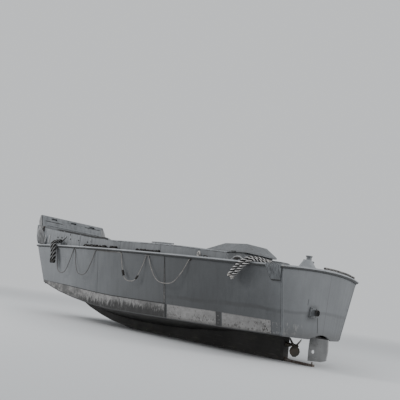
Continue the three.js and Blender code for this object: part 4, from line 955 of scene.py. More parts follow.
for side, word in ((1, "port"), (-1, "starboard")):
    xs = sorted(set([r[0] for r in COAMING_TOP] + [r[0] for r in BULWARK_TOP] + list(np.linspace(2.1, 10.6, 40))))
    # the bulwark cap is painted near-black as painted shadow under the bulwark's head
    for tag, mat, lo, hi, tall in (("coaming_cap", "rail", 0.0, 6.87, 0.030), ("bulwark_cap", "cap", 6.85, 20.0, 0.052)):
        k = Kit()
        rings = []
        for x in [q for q in xs if lo <= q <= hi]:
            z = top_line(x)
            y0, y1 = side * 1.2085, side * 1.2535
            ring = [P(x, y1, z - tall), P(x, y1 + side * 0.003, z - 0.012), P(x, y1, z + 0.005), P(x, (y0 + y1) / 2, z + 0.009), P(x, y0, z + 0.005), P(x, y0, z - tall)]
            rings.append(ring if side < 0 else list(reversed(ring)))
        k.loft(rings)
        k.make(word + "_" + tag, M[mat], slot="rail_paint", bevel=0.002, smooth=40)
    # joint straps, stiffeners and their bolts on the outside of coaming and bulwark
    k, b = Kit(), Kit()
    for x, w in ((6.28, 0.045), (4.50, 0.045), (3.05, 0.03), (8.35, 0.035), (9.32, 0.035)):
        z0, z1 = sheer_z(x) + 0.004, top_line(x) - 0.035
        y = side * 1.2505
        k.box(x - OX - w, x - OX + w, min(y, y + side * 0.006), max(y, y + side * 0.006), z0, z1)
        for z in np.arange(z0 + 0.04, z1, 0.075):
            for dx in (-0.6 * w, 0.6 * w):
                b.dome(P(x + dx, side * 1.2565, z), (0, side, 0), 0.008, 0.005)
    for x in np.arange(2.25, 10.4, 0.21):
        b.dome(P(x, side * 1.2505, top_line(x) - 0.065), (0, side, 0), 0.008, 0.005)
    for x in np.arange(6.8, 10.4, 0.21):
        b.dome(P(x, side * 1.2505, top_line(x) - 0.24), (0, side, 0), 0.007, 0.005)
    k.make(word + "_coaming_straps", M["coaming"], slot="steel_paint", bevel=0.002, smooth=40)
    b.make(word + "_coaming_bolts", M["coaming"], slot="steel_paint", smooth=40)
    # angle along the foot of the coaming
    k = Kit()
    for x0, x1 in ((2.07, 6.58), (6.62, 10.35)):
        xs = np.linspace(x0, x1, 14)
        k.loft([[P(x, side * 1.2505, sheer_z(x) + 0.002), P(x, side * 1.300, sheer_z(x) + 0.002), P(x, side * 1.300, sheer_z(x) + 0.007), P(x, side * 1.257, sheer_z(x) + 0.009), P(x, side * 1.2565, sheer_z(x) + 0.045), P(x, side * 1.2505, sheer_z(x) + 0.045)][::(-1 if side > 0 else 1)] for x in xs])
    k.make(word + "_coaming_angle", M["steel"], slot="steel_paint", bevel=0.0015, smooth=30)
    # lashing rails: a bar on short posts with lines wrapped on it
    k, w = Kit(), Kit()
    rnd = random.Random(5 + side)
    for x0, x1 in ((6.77, 7.97), (6.26, 6.54), (4.34, 5.35)):
        n = max(2, int(round((x1 - x0) / 0.26)) + 1)
        h = 0.090 if x1 < 6.0 else 0.100
        k.rod(P(x0, side * 1.345, sheer_z(x0) + h), P(x1, side * 1.345, sheer_z(x1) + h), 0.011, 10)
        for i in range(n):
            x = x0 + 0.02 + (x1 - x0 - 0.04) * i / (n - 1)
            k.rod(P(x, side * 1.345, sheer_z(x) - 0.002), P(x, side * 1.345, sheer_z(x) + h), 0.010, 8)
            k.rod(P(x, side * 1.345, sheer_z(x) + 0.0005), P(x, side * 1.345, sheer_z(x) + 0.010), 0.030, 14)
        x = x0 + 0.03
        while x < x1 - 0.06:
            long = rnd.uniform(0.05, 0.16)
            r = rnd.uniform(0.040, 0.060) if x0 > 6.0 else rnd.uniform(0.030, 0.044)
            m = max(3, int(long / 0.026))
            for i in range(m):
                xx = min(x + long * i / m, x1 - 0.02)
                w.ring(P(xx, side * (1.345 + rnd.uniform(-0.004, 0.004)), sheer_z(xx) + h - 0.004), (1, rnd.uniform(-0.3, 0.3), rnd.uniform(-0.3, 0.3)), r * rnd.uniform(0.8, 1.1), 0.0125, 16, 6)
            x += long + rnd.uniform(0.02, 0.12)
    k.make(word + "_lashing_rails", M["black"], slot="steel_paint", smooth=50)
    w.make(word + "_rail_lashings", M["dark_rope"], slot="dark_rope", smooth=60)

# bar lying on the port coaming, in two clips
k = Kit()
k.tube([P(4.86, 1.232, 2.437), P(4.6, 1.232, 2.432), P(4.3, 1.232, 2.423), P(3.98, 1.232, 2.411)], [0.016, 0.020, 0.020, 0.016], 12)
for x in (4.70, 4.12):
    z = top_line(x)
    k.box(x - OX - 0.012, x - OX + 0.012, 1.210, 1.255, z - 0.01, z + 0.022)
k.make("port_coaming_bar", M["steel"], slot="steel_paint", bevel=0.002, smooth=40)


# ------------------------------------------------------------------------ ramp
RAMP_M = Matrix.Translation(P(HINGE[0], 0, HINGE[1])) @ Matrix.Rotation(RAMP_LEAN, 4, "Y")


def half_at(s):
    return 1.222 + 0.050 * s / RAMP_L


k = Kit()
# inner plating in strips between the slots; n is across the ramp's thickness
slots = [(-0.900, -0.680), (-0.110, 0.110), (0.680, 0.900)]
def plate(s0, s1, spans):
    for y0, y1 in spans:
        a, b = half_at(s0) - 0.072, half_at(s1) - 0.072
        ya0, ya1 = (max(y0, -a), min(y1, a))
        yb0, yb1 = (max(y0, -b), min(y1, b))
        if y0 < -1.1: ya0, yb0 = -a, -b
        if y1 > 1.1: ya1, yb1 = a, b
        pts = [(-0.004, ya0, s0), (-0.004, ya1, s0), (-0.004, yb1, s1), (-0.004, yb0, s1), (0.004, ya0, s0), (0.004, ya1, s0), (0.004, yb1, s1), (0.004, yb0, s1)]
        k.add([RAMP_M @ Vector(p) for p in pts], [(0, 3, 2, 1), (4, 5, 6, 7), (0, 1, 5, 4), (1, 2, 6, 5), (2, 3, 7, 6), (3, 0, 4, 7)])
rows = [0.075, 0.42, 0.77, 1.13, 1.49, 1.85, 2.15, 2.325]
for a, b in zip(rows, rows[1:]):
    plate(a + 0.003, b - 0.003, [(-1.3, 1.3)])
plate(2.325, 2.383, [(-1.3, slots[0][0]), (slots[0][1], slots[1][0]), (slots[1][1], slots[2][0]), (slots[2][1], 1.3)])
k.make("ramp_inner_plating", M["ramp"], body="ramp", slot="steel_paint", bevel=0.002, smooth=30)
k = Kit()
for s in (0.16, 0.30, 0.52, 0.66, 0.88, 1.02, 1.24, 1.38, 1.60, 1.74, 1.95, 2.07):
    k.box(-0.022, -0.0035, -1.08, 1.08, s, s + 0.034, RAMP_M)
k.make("ramp_treads", M["ramp"], body="ramp", slot="steel_paint", bevel=0.003, smooth=30)
k = Kit()
for side in (-1, 1):
    for s in np.arange(0.12, 2.4, 0.16):
        k.dome(RAMP_M @ Vector((-0.001, side * (half_at(s) - 0.035), s)), RAMP_M.to_3x3() @ Vector((-1, 0, 0)), 0.011, 0.006)
        k.dome(RAMP_M @ Vector((RAMP_T, side * (half_at(s) - 0.035), s)), RAMP_M.to_3x3() @ Vector((1, 0, 0)), 0.011, 0.006)
for y in np.arange(-1.15, 1.16, 0.18):
    for s in (0.07, 1.13, 2.41):
        k.dome(RAMP_M @ Vector((RAMP_T, y, s)), RAMP_M.to_3x3() @ Vector((1, 0, 0)), 0.011, 0.006)
    k.dome(RAMP_M @ Vector((-0.001, y, RAMP_L - 0.03)), RAMP_M.to_3x3() @ Vector((-1, 0, 0)), 0.011, 0.006)
for side, word, mat in ((-1, "starboard", "light"), (1, "port", "ramp")):
    f = Kit()
    a, b = half_at(0.10), half_at(RAMP_L - 0.10)
    q = [(a - 0.070, 0.10), (a - 0.012, 0.10), (b - 0.012, RAMP_L - 0.10), (b - 0.070, RAMP_L - 0.10)]
    if side < 0:
        q = [(-y, t) for y, t in reversed(q)]
    f.add([RAMP_M @ Vector((n, y, t)) for n in (-0.012, 0.001) for y, t in q], [(0, 3, 2, 1), (4, 5, 6, 7), (0, 1, 5, 4), (1, 2, 6, 5), (2, 3, 7, 6), (3, 0, 4, 7)])
    f.make("ramp_" + word + "_flange", M[mat], body="ramp", slot="steel_paint", bevel=0.002, smooth=30)
# riveted straps on the outer face
f = Kit()
for y in (-0.80, -0.27, 0.27, 0.80):
    f.box(0.0845, 0.0890, y - 0.027, y + 0.027, 0.10, 2.385, RAMP_M)
    for t in np.arange(0.16, 2.36, 0.155):
        f.dome(RAMP_M @ Vector((0.0888, y, t)), RAMP_M.to_3x3() @ Vector((1, 0, 0)), 0.010, 0.0045)
for t in (0.86, 1.62):
    for y0, y1 in ((-1.19, -0.829), (-0.771, -0.299), (-0.241, 0.241), (0.299, 0.771), (0.829, 1.19)):
        f.box(0.0845, 0.0885, y0, y1, t - 0.027, t + 0.027, RAMP_M)
f.make("ramp_outer_straps", M["ramp"], body="ramp", slot="steel_paint", bevel=0.001, smooth=30)
# wedge plates that lap past the ramp's edges, in front of the cheeks
for side, word in ((-1, "starboard"), (1, "port")):
    f = Kit()
    q = [(1.262, 2.436), (1.302, 2.436), (1.378, 2.200), (1.378, 1.960), (1.254, 1.880)]
    if side > 0:
        q = list(reversed(q))
    f.loft([[RAMP_M @ Vector((n, side * y, t)) for y, t in q] for n in (0.010, 0.024)])
    f.make("ramp_" + word + "_wedge", M["light"], body="ramp", slot="steel_paint", bevel=0.002, smooth=30)
    # black seal along the ramp's edge
    f = Kit()
    a, b = half_at(0.14), half_at(2.43)
    q = [(a - 0.0112, 0.14), (a + 0.004, 0.14), (b + 0.004, 2.43), (b - 0.0112, 2.43)]
    if side < 0:
        q = list(reversed(q))
    f.loft([[RAMP_M @ Vector((n, side * y, t)) for y, t in q] for n in (-0.006, 0.001)])
    f.make("ramp_" + word + "_seal", M["rubber"], body="ramp", slot="steel_paint", bevel=0.001, smooth=30)
k.make("ramp_rivets", M["ramp"], body="ramp", slot="steel_paint", smooth=40)
# rubber apron round the underside of the hinge; it turns with the ramp and
# closes the gap to the head log, and leaves room for the log's lugs
k = Kit()
R1, R2 = 0.0325, 0.0385
# the short arc passes the log's lugs and the bow posts when the ramp is down
for end, spans in ((math.pi - RAMP_LEAN - 0.06, ((-1.150, -0.967), (-0.833, -0.367), (-0.233, 0.233), (0.367, 0.833), (0.967, 1.150))),
                   (math.radians(34), ((-1.214, -1.150), (-0.967, -0.833), (-0.367, -0.233), (0.233, 0.367), (0.833, 0.967), (1.150, 1.214)))):
    turn = [-end * i / 14 for i in range(15)]
    lip = [(R2, 0.050)] + [(R2 * math.cos(t), R2 * math.sin(t)) for t in turn] + [(R1 * math.cos(t), R1 * math.sin(t)) for t in reversed(turn)] + [(R1, 0.050)]
    for y0, y1 in spans:
        k.loft([[RAMP_M @ Vector((n, y, t)) for n, t in lip] for y in (y0, y1)])
k.make("ramp_hinge_apron", M["rubber"], body="ramp", slot="steel_paint", smooth=40)
# bow: latch beside the ramp, battens, bracket, handle and small fittings on the bulwark
for side, word in ((1, "port"), (-1, "starboard")):
    k = Kit()
    k.box(10.628 - OX, 10.690 - OX, *sorted((side * 1.246, side * 1.286)), 2.645, 2.825)
    k.rod(P(10.659, side * 1.28, 2.735), P(10.659, side * 1.312, 2.735), 0.020, 14)
    k.make(word + "_ramp_latch", M["black"], slot="steel_paint", bevel=0.006, segments=3, smooth=40)
    k = Kit()
    for x in (10.48, 10.20):
        k.box(x - OX - 0.022, x - OX + 0.022, *sorted((side * 1.2495, side * 1.266)), 2.27, 2.53)
    k.rod(P(9.15, side * 1.262, 2.505), P(9.36, side * 1.275, 2.345), 0.015, 10)
    k.tube([P(7.72, side * 1.248, 2.36), P(7.70, side * 1.282, 2.372), P(7.685, side * 1.298, 2.405), P(7.70, side * 1.282, 2.438), P(7.72, side * 1.248, 2.45)], 0.010, 8)
    k.make(word + "_bulwark_battens", M["light"], slot="rail_paint", bevel=0.003, smooth=40)
    k = Kit()
    k.rod(P(9.498, side * 1.249, 2.347), P(9.498, side * 1.300, 2.347), 0.042, 16)
    for x in (9.674, 9.427):
        k.box(x - OX - 0.020, x - OX + 0.020, *sorted((side * 1.2495, side * 1.262)), 2.435, 2.485)
    for x, z in ((8.94, 2.56), (8.90, 2.42), (8.41, 2.39), (7.91, 2.35)):
        k.rod(P(x, side * 1.249, z), P(x, side * 1.262, z), 0.022, 14)
        k.rod(P(x, side * 1.262, z), P(x, side * 1.270, z), 0.011, 6)
    k.make(word + "_bulwark_fittings", M["black"], slot="steel_paint", bevel=0.003, smooth=40)
# upright boards on the after face of the cheek across the bow, in paler paint as painted light on this shaded face
CHEEK = [(1.2545, 2.075, 2.828), (1.335, 2.075, 2.824), (1.338, 2.215, 2.824), (1.416, 2.215, 2.818), (1.419, 2.225, 2.818), (1.492, 2.330, 2.500)]
for side, word in ((1, "port"), (-1, "starboard")):
    k = Kit()
    for (y0, a0, b0), (y1, a1, b1) in ((CHEEK[0], CHEEK[1]), (CHEEK[2], CHEEK[3]), (CHEEK[4], CHEEK[5])):
        if y0 > 1.41:
            b0, b1 = 2.790, 2.640
        rings = []
        for d in (-0.010, 0.001):
            q = [(y0, a0), (y1, a1), (y1, b1), (y0, b0)]
            rings.append([P(HINGE[0] + (z - HINGE[1]) * math.tan(RAMP_LEAN) - 0.012 - 0.045 + d, side * y, z) for y, z in q])
        k.loft(rings if side > 0 else [list(reversed(r)) for r in rings])
    k.make(word + "_cheek_boards", M["cheek"], slot="hull_paint", bevel=0.002, smooth=30)
# boards that carry the well's lining on to the bow post
for side, word in ((1, "port"), (-1, "starboard")):
    k = Kit()
    edge = lambda z: HINGE[0] + (z - HINGE[1]) * math.tan(RAMP_LEAN) - 0.032
    rings = []
    for y in (1.1875, 1.2085):
        rings.append([P(x, side * y, z) for x, z in ((9.903, 0.996), (9.903, 2.100), (edge(2.100), 2.100), (edge(0.996), 0.996))])
    k.loft(rings if side > 0 else [list(reversed(r)) for r in rings])
    k.make(word + "_well_end_board", M["inside"], slot="hull_paint", bevel=0.002, smooth=30)
# becket that holds the inboard end of the bow fender to the bulwark
k = Kit()
k.rod(P(9.448, 1.250, 2.358), P(9.442, 1.330, 2.346), 0.030, 14)
for i in range(6):
    k.ring(P(9.447 - 0.001 * i, 1.262 + 0.011 * i, 2.357 - 0.002 * i), (0.1 * (i % 3 - 1), 1, -0.15), 0.034 + 0.004 * (i % 2), 0.011, 18, 8)
k.ring(P(9.50, 1.272, 2.372), (0.3, 0.2, 1), 0.036, 0.012, 20, 8)
k.make("port_bow_fender_becket", M["dark_rope"], slot="dark_rope", smooth=60)


# ------------------------------------------------------------- well and cockpit
for side, word in ((1, "port"), (-1, "starboard")):
    k = Kit()
    for x in np.arange(3.95, 9.3, 0.48):
        z0 = 0.905 if x < 8.9 else 0.905 + (x - 8.9) * 0.09
        k.box(x - OX - 0.022, x - OX + 0.022, *sorted((side * 1.1845, side * 1.148)), z0 + 0.01, sheer_z(x) - 0.02)
    for z in (1.30, 1.72):
        k.box(3.66 - OX, 9.45 - OX, *sorted((side * 1.1845, side * 1.166)), z - 0.045, z + 0.045)
    k.box(3.66 - OX, 9.55 - OX, *sorted((side * 1.1845, side * 1.150)), 2.035, 2.085)
    k.make(word + "_well_frames", M["inside"], slot="hull_paint", bevel=0.004, smooth=30)
k = Kit()
for x in np.arange(3.85, 8.8, 0.36):
    k.box(x - OX - 0.02, x - OX + 0.02, -1.12, 1.12, 0.9005, 0.918)
for x in np.arange(8.98, 9.6, 0.16):
    z = 0.9005 + (x - 8.9) * 0.0903
    k.box(x - OX - 0.02, x - OX + 0.02, -1.12, 1.12, z, z + 0.018)
k.make("cargo_deck_treads", M["tread"], slot="deck_paint", bevel=0.004, smooth=30)
k = Kit()
for y in (-0.86, 0.0, 0.86):
    k.box(3.6395 - OX, 3.66 - OX, y - 0.03, y + 0.03, 0.93, 2.25)
k.box(3.6395 - OX, 3.67 - OX, -1.14, 1.14, 2.215, 2.285)
for y in (-0.43, 0.43):
    k.box(3.6395 - OX, 3.655 - OX, y - 0.28, y + 0.28, 1.05, 1.62)
    for z in (1.13, 1.54):
        k.rod(P(3.655, y - 0.25, z), P(3.662, y - 0.25, z), 0.02, 12)
k.make("bulkhead_stiffeners", M["inside"], slot="hull_paint", bevel=0.004, smooth=30)
# instrument board and compass ahead of the wheel
k, d, g = Kit(), Kit(), Kit()
k.box(3.555 - OX, 3.598 - OX, 0.70, 1.13, 2.085, 2.245)
for y in (0.77, 0.88, 0.99):
    g.rod(P(3.555, y, 2.165), P(3.546, y, 2.165), 0.040, 24)
    k.ring(P(3.5485, y, 2.165), (1, 0, 0), 0.041, 0.006, 28, 8)
    d.box(3.5445 - OX, 3.5456 - OX, y - 0.002, y + 0.002, 2.165, 2.194)
    for a in range(0, 271, 27):
        t = math.radians(a - 45)
        d.rod(P(3.5458, y - 0.033 * math.cos(t), 2.165 + 0.033 * math.sin(t)), P(3.5450, y - 0.033 * math.cos(t), 2.165 + 0.033 * math.sin(t)), 0.0022, 6)
for y in (1.055, 1.09):
    d.rod(P(3.555, y, 2.15), P(3.535, y, 2.15), 0.010, 12)
k.turned(P(3.50, 0.88, 2.0805), [(0.055, 0.0), (0.060, 0.01), (0.058, 0.03), (0.050, 0.05)], 24)
g.turned(P(3.50, 0.88, 2.130), [(0.047, 0.0), (0.040, 0.014), (0.018, 0.022)], 24)
k.make("instrument_board", M["steel"], slot="steel_paint", bevel=0.003, smooth=40)
g.make("instrument_faces", M["dial"], slot="bare_steel", smooth=40)
d.make("instrument_hands", M["twine"], slot="rail_paint", smooth=40)
k = Kit()
for y, x, z in ((0.66, 3.499, 2.200), (0.70, 3.546, 2.208)):
    k.turned(P(x, y, z - 0.012), [(0.006, 0.0), (0.016, 0.008), (0.018, 0.018), (0.012, 0.030), (0.004, 0.034)], 16)
k.make("control_knobs", M["rubber"], slot="bare_steel", smooth=60)
# cockpit gratings
k = Kit()
for y in np.arange(0.66, 1.15, 0.055):
    k.box(2.50 - OX, 3.36 - OX, y - 0.014, y + 0.014, 1.3115, 1.328)
for x in (2.56, 2.93, 3.30):
    k.box(x - OX - 0.02, x - OX + 0.02, 0.63, 1.16, 1.3005, 1.312)
k.make("cockpit_grating", M["board"], slot="deck_paint", bevel=0.003, smooth=30)
# battens and a sill moulding on the engine box
k = Kit()
for side in (-1, 1):
    y = side * 0.5605
    for x in (2.19, 3.37):
        k.box(x - OX - 0.02, x - OX + 0.02, *sorted((y, y + side * 0.010)), 1.32, 2.33)
    k.box(2.16 - OX, 3.39 - OX, *sorted((y, y + side * 0.012)), 1.315, 1.37)
k.make("engine_box_battens", M["inside"], slot="hull_paint", bevel=0.002, smooth=30)
# hatch lid: handles, rivets, hinge straps
k = Kit()
for x in (2.45, 3.02):
    for s in (1,):
        k.tube([P(x - 0.06, 0.596, 2.378), P(x - 0.06, 0.620, 2.380), P(x - 0.045, 0.628, 2.380), P(x + 0.045, 0.628, 2.380), P(x + 0.06, 0.620, 2.380), P(x + 0.06, 0.596, 2.378)], 0.007, 8)
k.make("hatch_handles", M["black"], body="hatch", slot="steel_paint", smooth=50)
k = Kit()
lid = "engine_hatch_lid"
def on_lid(x, y, d=(0, 0, -1)):
    got = hit(lid, (x - OX, y, 4.0), d)
    return got if got else (P(x, y, 2.4), Vector((0, 0, 1)))
for x in (2.36, 2.62, 2.88, 3.14):
    for y in (-0.52, -0.46):
        p, n = on_lid(x, y)
        k.dome(p, n, 0.010, 0.006)
    for y in (0.46, 0.52):
        p, n = on_lid(x, y)
        k.dome(p, n, 0.010, 0.006)
for y in (-0.3, -0.1, 0.1, 0.3):
    for x in (2.12, 3.36):
        p, n = on_lid(x, y)
        k.dome(p, n, 0.010, 0.006)
k.make("hatch_rivets", M["steel"], body="hatch", slot="steel_paint", smooth=40)
k = Kit()
for x in (2.30, 3.20):
    k.rod(P(x - 0.06, -0.608, 2.372), P(x + 0.06, -0.608, 2.372), 0.012, 12)
    k.box(x - OX - 0.05, x - OX + 0.05, -0.602, -0.5995, 2.37, 2.395)
k.make("hatch_hinges", M["black"], body="hatch", slot="steel_paint", bevel=0.001, smooth=40)
# winch: wire on the drum, gear teeth, crank
k = Kit()
for i in range(26):
    y = -1.045 + i * 0.0118
    k.ring(P(2.65, y, 1.53), (0, 1, 0.02), 0.100, 0.0062, 32, 6)
k.make("winch_wire", M["rust"], slot="bare_steel", smooth=60)
k = Kit()
for i in range(30):
    t = 2 * math.pi * i / 30
    c = P(2.65 + 0.152 * math.cos(t), 0, 1.53 + 0.152 * math.sin(t))
    k.rod(Vector((c.x, -0.700, c.z)), Vector((c.x, -0.645, c.z)), 0.008, 8)
k.rod(P(2.65, -0.642, 1.53), P(2.65, -0.600, 1.53), 0.022, 16)
k.make("winch_gear_teeth", M["black"], slot="steel_paint", smooth=40)
# aft cockpits: pads round the rim and a footboard
for side, word in ((1, "port"), (-1, "starboard")):
    cx, cy = 1.25, side * 0.55
    k = Kit()
    prof = [(0.352, 0.812), (0.404, 0.812), (0.413, 0.822), (0.413, 0.846), (0.400, 0.858)]
    for i in range(6):
        t0, t1 = math.radians(60 * i + 3), math.radians(60 * i + 57)
        rings = []
        for j in range(9):
            t = t0 + (t1 - t0) * j / 8
            rings.append([P(cx + r * math.cos(t), cy + r * math.sin(t), z) for r, z in ((0.352, 2.161), (0.398, 2.161), (0.401, 2.168), (0.394, 2.176), (0.357, 2.176), (0.350, 2.168))])
        k.loft(rings)
    k.make(word + "_cockpit_rim_plates", M["steel"], slot="steel_paint", bevel=0.001, smooth=40)
    k = Kit()
    for i in range(24):
        t = 2 * math.pi * (i + 0.5) / 24
        k.dome(P(cx + 0.403 * math.cos(t), cy + 0.403 * math.sin(t), 2.125), (math.cos(t), math.sin(t), 0), 0.009, 0.006)
    k.ring(P(cx, cy, 2.0985), (0, 0, 1), 0.404, 0.006, 40, 8)
    k.make(word + "_cockpit_rivets", M["steel"], slot="steel_paint", smooth=40)
    k = Kit()
    for i in range(-3, 4):
        w = math.sqrt(max(0.0, 0.33**2 - (0.085 * i) ** 2))
        k.box(cx - OX - w, cx - OX + w, cy + 0.085 * i - 0.034, cy + 0.085 * i + 0.034, 1.3305, 1.348)
    k.make(word + "_cockpit_footboards", M["board"], slot="deck_paint", bevel=0.003, smooth=30)
# hatches, filler caps and bolt heads on the aft deck
def deck_top(x, y):
    got = hit("aft_deck", (x - OX, y, 3.5), (0, 0, -1))
    return got if got else (P(x, y, 2.07), Vector((0, 0, 1)))
k = Kit()
for x0, x1, y0, y1 in ((1.66, 1.98, 0.78, 1.18), (1.66, 1.98, -1.18, -0.78), (0.42, 0.60, -0.30, 0.30), (1.70, 1.98, -0.22, 0.22)):
    grid = [[deck_top(x0 + (x1 - x0) * i / 3, y0 + (y1 - y0) * j / 5) for j in range(6)] for i in range(4)]
    k.skin(grid, 0.010, 1)
k.make("deck_hatches", M["deck"], slot="deck_paint", bevel=0.003, smooth=30)
k = Kit()
for x, y in ((1.95, 1.30), (1.95, -1.30), (0.95, 0.0), (1.60, 0.0), (2.0, 0.5)):
    p, n = deck_top(x, y)
    k.rod(p - n * 0.001, p + n * 0.012, 0.045, 20)
    k.rod(p + n * 0.012, p + n * 0.018, 0.028, 6)
for x, y in ((1.70, 0.84), (1.94, 0.84), (1.70, 1.12), (1.94, 1.12), (1.70, -0.84), (1.94, -0.84), (1.70, -1.12), (1.94, -1.12)):
    p, n = deck_top(x, y)
    k.dome(p + n * 0.010, n, 0.014, 0.007, 10)
k.make("deck_caps", M["bronze"], slot="bronze", bevel=0.002, smooth=40)
# bolts along the port and starboard rub rails
k = Kit()
for side in (-1, 1):
    for x in np.arange(0.5, 10.45, 0.33):
        y, z = sheer_y(x), sheer_z(x)
        k.dome(P(x, side * (y + 0.0605), z - 0.024 + rail_lift(x)), (0, side, 0), 0.009, 0.004)
k.make("rub_rail_bolts", M["rail"], slot="rail_paint", smooth=40)
# nuts on the exhaust flange, a black lip round the pipe's mouth and a dark plug in its bore as painted shadow
def on_transom(y, z):
    got = hit("transom", (-3 - OX, y, z), (1, 0, 0))
    return got if got else (P(0.05, y, z), Vector((-1, 0, 0)))
k = Kit()
for y, z in ((0.377, 1.072), (0.377, 1.238), (0.517, 1.072), (0.517, 1.238)):
    p, n = hit("exhaust_pipe", (-3 - OX, y, z), (1, 0, 0))
    k.dome(p, n, 0.013, 0.009, 6)
k.make("exhaust_flange_nuts", M["black"], slot="bare_steel", smooth=30)
k = Kit()
k.ring(P(-0.051, 0.447, 1.155), (1, 0, 0), 0.0625, 0.0055, 32, 8)
k.make("exhaust_lip", M["black"], slot="bare_steel", smooth=60)
k = Kit()
k.rod(P(0.165, 0.447, 1.155), P(0.185, 0.447, 1.155), 0.0575, 24)
k.make("exhaust_shadow_plug", M["caulk"], slot="bare_steel", smooth=40)
# canvas and rope pad over the rail at each quarter, wider at the rail than at its foot
for side, word in ((1, "port"), (-1, "starboard")):
    k, e = Kit(), Kit()
    low, n = 1.735, 9
    top_x, foot_x = (0.275, 0.620), (0.315, 0.525)
    at = lambda pair, u: pair[0] + (pair[1] - pair[0]) * u
    rings = []
    for u in (-0.02, 1.02):
        xt, xf = at(top_x, u), at(foot_x, u)
        top, hull = sheer_z(xt) + rail_lift(xt), on_side(max(xf, 0.30), low, side)[0].y
        rings.append([P(xt, side * (sheer_y(xt) + 0.050), top - 0.010), P(xf, hull + side * 0.004, low), P(xf, hull - side * 0.010, low), P(xt, side * (sheer_y(xt) - 0.012), top - 0.060)])
    k.loft(rings if side > 0 else [list(reversed(r)) for r in rings])
    for i in range(n):
        xt, xf = at(top_x, i / (n - 1)), at(foot_x, i / (n - 1))
        top, hull = sheer_z(xt) + rail_lift(xt), on_side(max(xf, 0.30), low, side)[0].y
        k.tube([P(xt, side * (sheer_y(xt) + 0.020), top + 0.012), P(xt, side * (sheer_y(xt) + 0.046), top + 0.002), P(xt, side * (sheer_y(xt) + 0.058), top - 0.030), P((xt + xf) / 2, (side * (sheer_y(xt) + 0.058) + hull + side * 0.014) / 2, (top - 0.03 + low) / 2), P(xf, hull + side * 0.014, low - 0.004)], [0.016, 0.021, 0.022, 0.020, 0.015], 10)
    k.make(word + "_quarter_pad", M["pad"], slot="rope", smooth=50)
    # dark cord along the pad's forward and lower edges: a dark piece that stands for the painted shadow gap under them
    hull = on_side(0.42, low, side)[0].y
    a, b = sheer_z(0.6) + rail_lift(0.6) - 0.03, hull + side * 0.018
    e.tube([P(0.645, side * (sheer_y(0.64) + 0.050), a), P(0.545, b, low - 0.004), P(0.520, b, low - 0.020), P(0.310, b, low - 0.018)], 0.010, 8)
    e.make(word + "_quarter_pad_edge_shadow", M["dark_rope"], slot="dark_rope", smooth=60)
    # rounded bead that covers the corner between side and transom
    k = Kit()
    line = []
    for i in range(14):
        z = 0.62 + (1.925 - 0.62) * i / 13
        q, m = on_side(0.345 + 0.03 * (1 - i / 13), z, side)
        got = hit("transom", (-3 - OX, side * (abs(q.y) - 0.045), z), (1, 0, 0))
        if not got:
            continue
        line.append(Vector((got[0].x + 0.023, q.y - side * 0.020, z)))
    k.tube(line, 0.027, 20)
    k.make(word + "_corner_bead", M["bead"], slot="hull_paint", smooth=60)
# chock of flat bar over the after end of the mooring cleat
for side, word in ((1, "port"), (-1, "starboard")):
    k = Kit()
    z = sheer_z(1.5)
    k.tube([P(1.735, side * 1.445, z + 0.022), P(1.705, side * 1.450, z + 0.052), P(1.655, side * 1.452, z + 0.094), P(1.600, side * 1.452, z + 0.124), P(1.530, side * 1.452, z + 0.136), P(1.455, side * 1.452, z + 0.128), P(1.385, side * 1.450, z + 0.092), P(1.355, side * 1.447, z + 0.024)], 0.013, 8)
    k.make(word + "_deck_chock", M["light"], slot="steel_paint", smooth=60)
    k = Kit()
    for i in range(5):
        k.ring(P(1.545 + 0.004 * (i % 2), side * 1.438, z + 0.022 + 0.019 * i), (0.05 * (i % 3 - 1), 0.04, 1), 0.082 - 0.006 * i, 0.012, 24, 8)
        k.ring(P(1.545, side * 1.438, z + 0.022 + 0.017 * i), (0, 0.05, 1), 0.055 - 0.004 * i, 0.012, 20, 8)
    k.make(word + "_chock_coil", M["dark_rope"], slot="dark_rope", smooth=60)
# grommet and hook on the port after lifting eye
k = Kit()
k.ring(P(2.800, 1.440, sheer_z(2.8) + 0.112), (0.35, 1, 0.1), 0.058, 0.017, 28, 10)
k.ring(P(2.742, 1.440, sheer_z(2.75) + 0.108), (1, 0.25, 0.2), 0.026, 0.012, 20, 8)
k.make("port_eye_grommet", M["twine"], slot="rope", smooth=60)
k = Kit()
k.tube([P(2.66, 1.44, sheer_z(2.66) + 0.020), P(2.62, 1.44, sheer_z(2.62) + 0.075), P(2.565, 1.44, sheer_z(2.56) + 0.088), P(2.50, 1.44, sheer_z(2.5) + 0.070), P(2.47, 1.44, sheer_z(2.47) + 0.014)], 0.015, 10)
k.make("port_eye_hook", M["black"], slot="steel_paint", smooth=60)

# keel bolts, rudder straps
k = Kit()
for side in (-1, 1):
    for x in np.arange(1.15, 9.2, 0.34):
        z = 0.055 if x < 6.4 else 0.055 + table([(6.4, 0.0), (7.0, 0.04), (7.6, 0.112), (8.2, 0.222), (8.9, 0.395), (9.3, 0.53)], x, 0, 1)
        k.dome(P(x, side * 0.1005, z), (0, side, 0), 0.014, 0.008, 6)
k.make("keel_bolts", M["rust"], slot="bare_steel", smooth=30)
k = Kit()
for side in (-1, 1):
    for z in (0.19, 0.44, 0.56):
        k.box(0.15 - OX, 0.375 - OX, *sorted((side * 0.0162, side * 0.022)), z - 0.022, z + 0.022)
        for x in (0.18, 0.25, 0.34):
            k.dome(P(x, side * 0.022, z), (0, side, 0), 0.010, 0.006, 6)
k.make("rudder_straps", M["rudder"], body="rudder", slot="steel_paint", bevel=0.002, smooth=30)


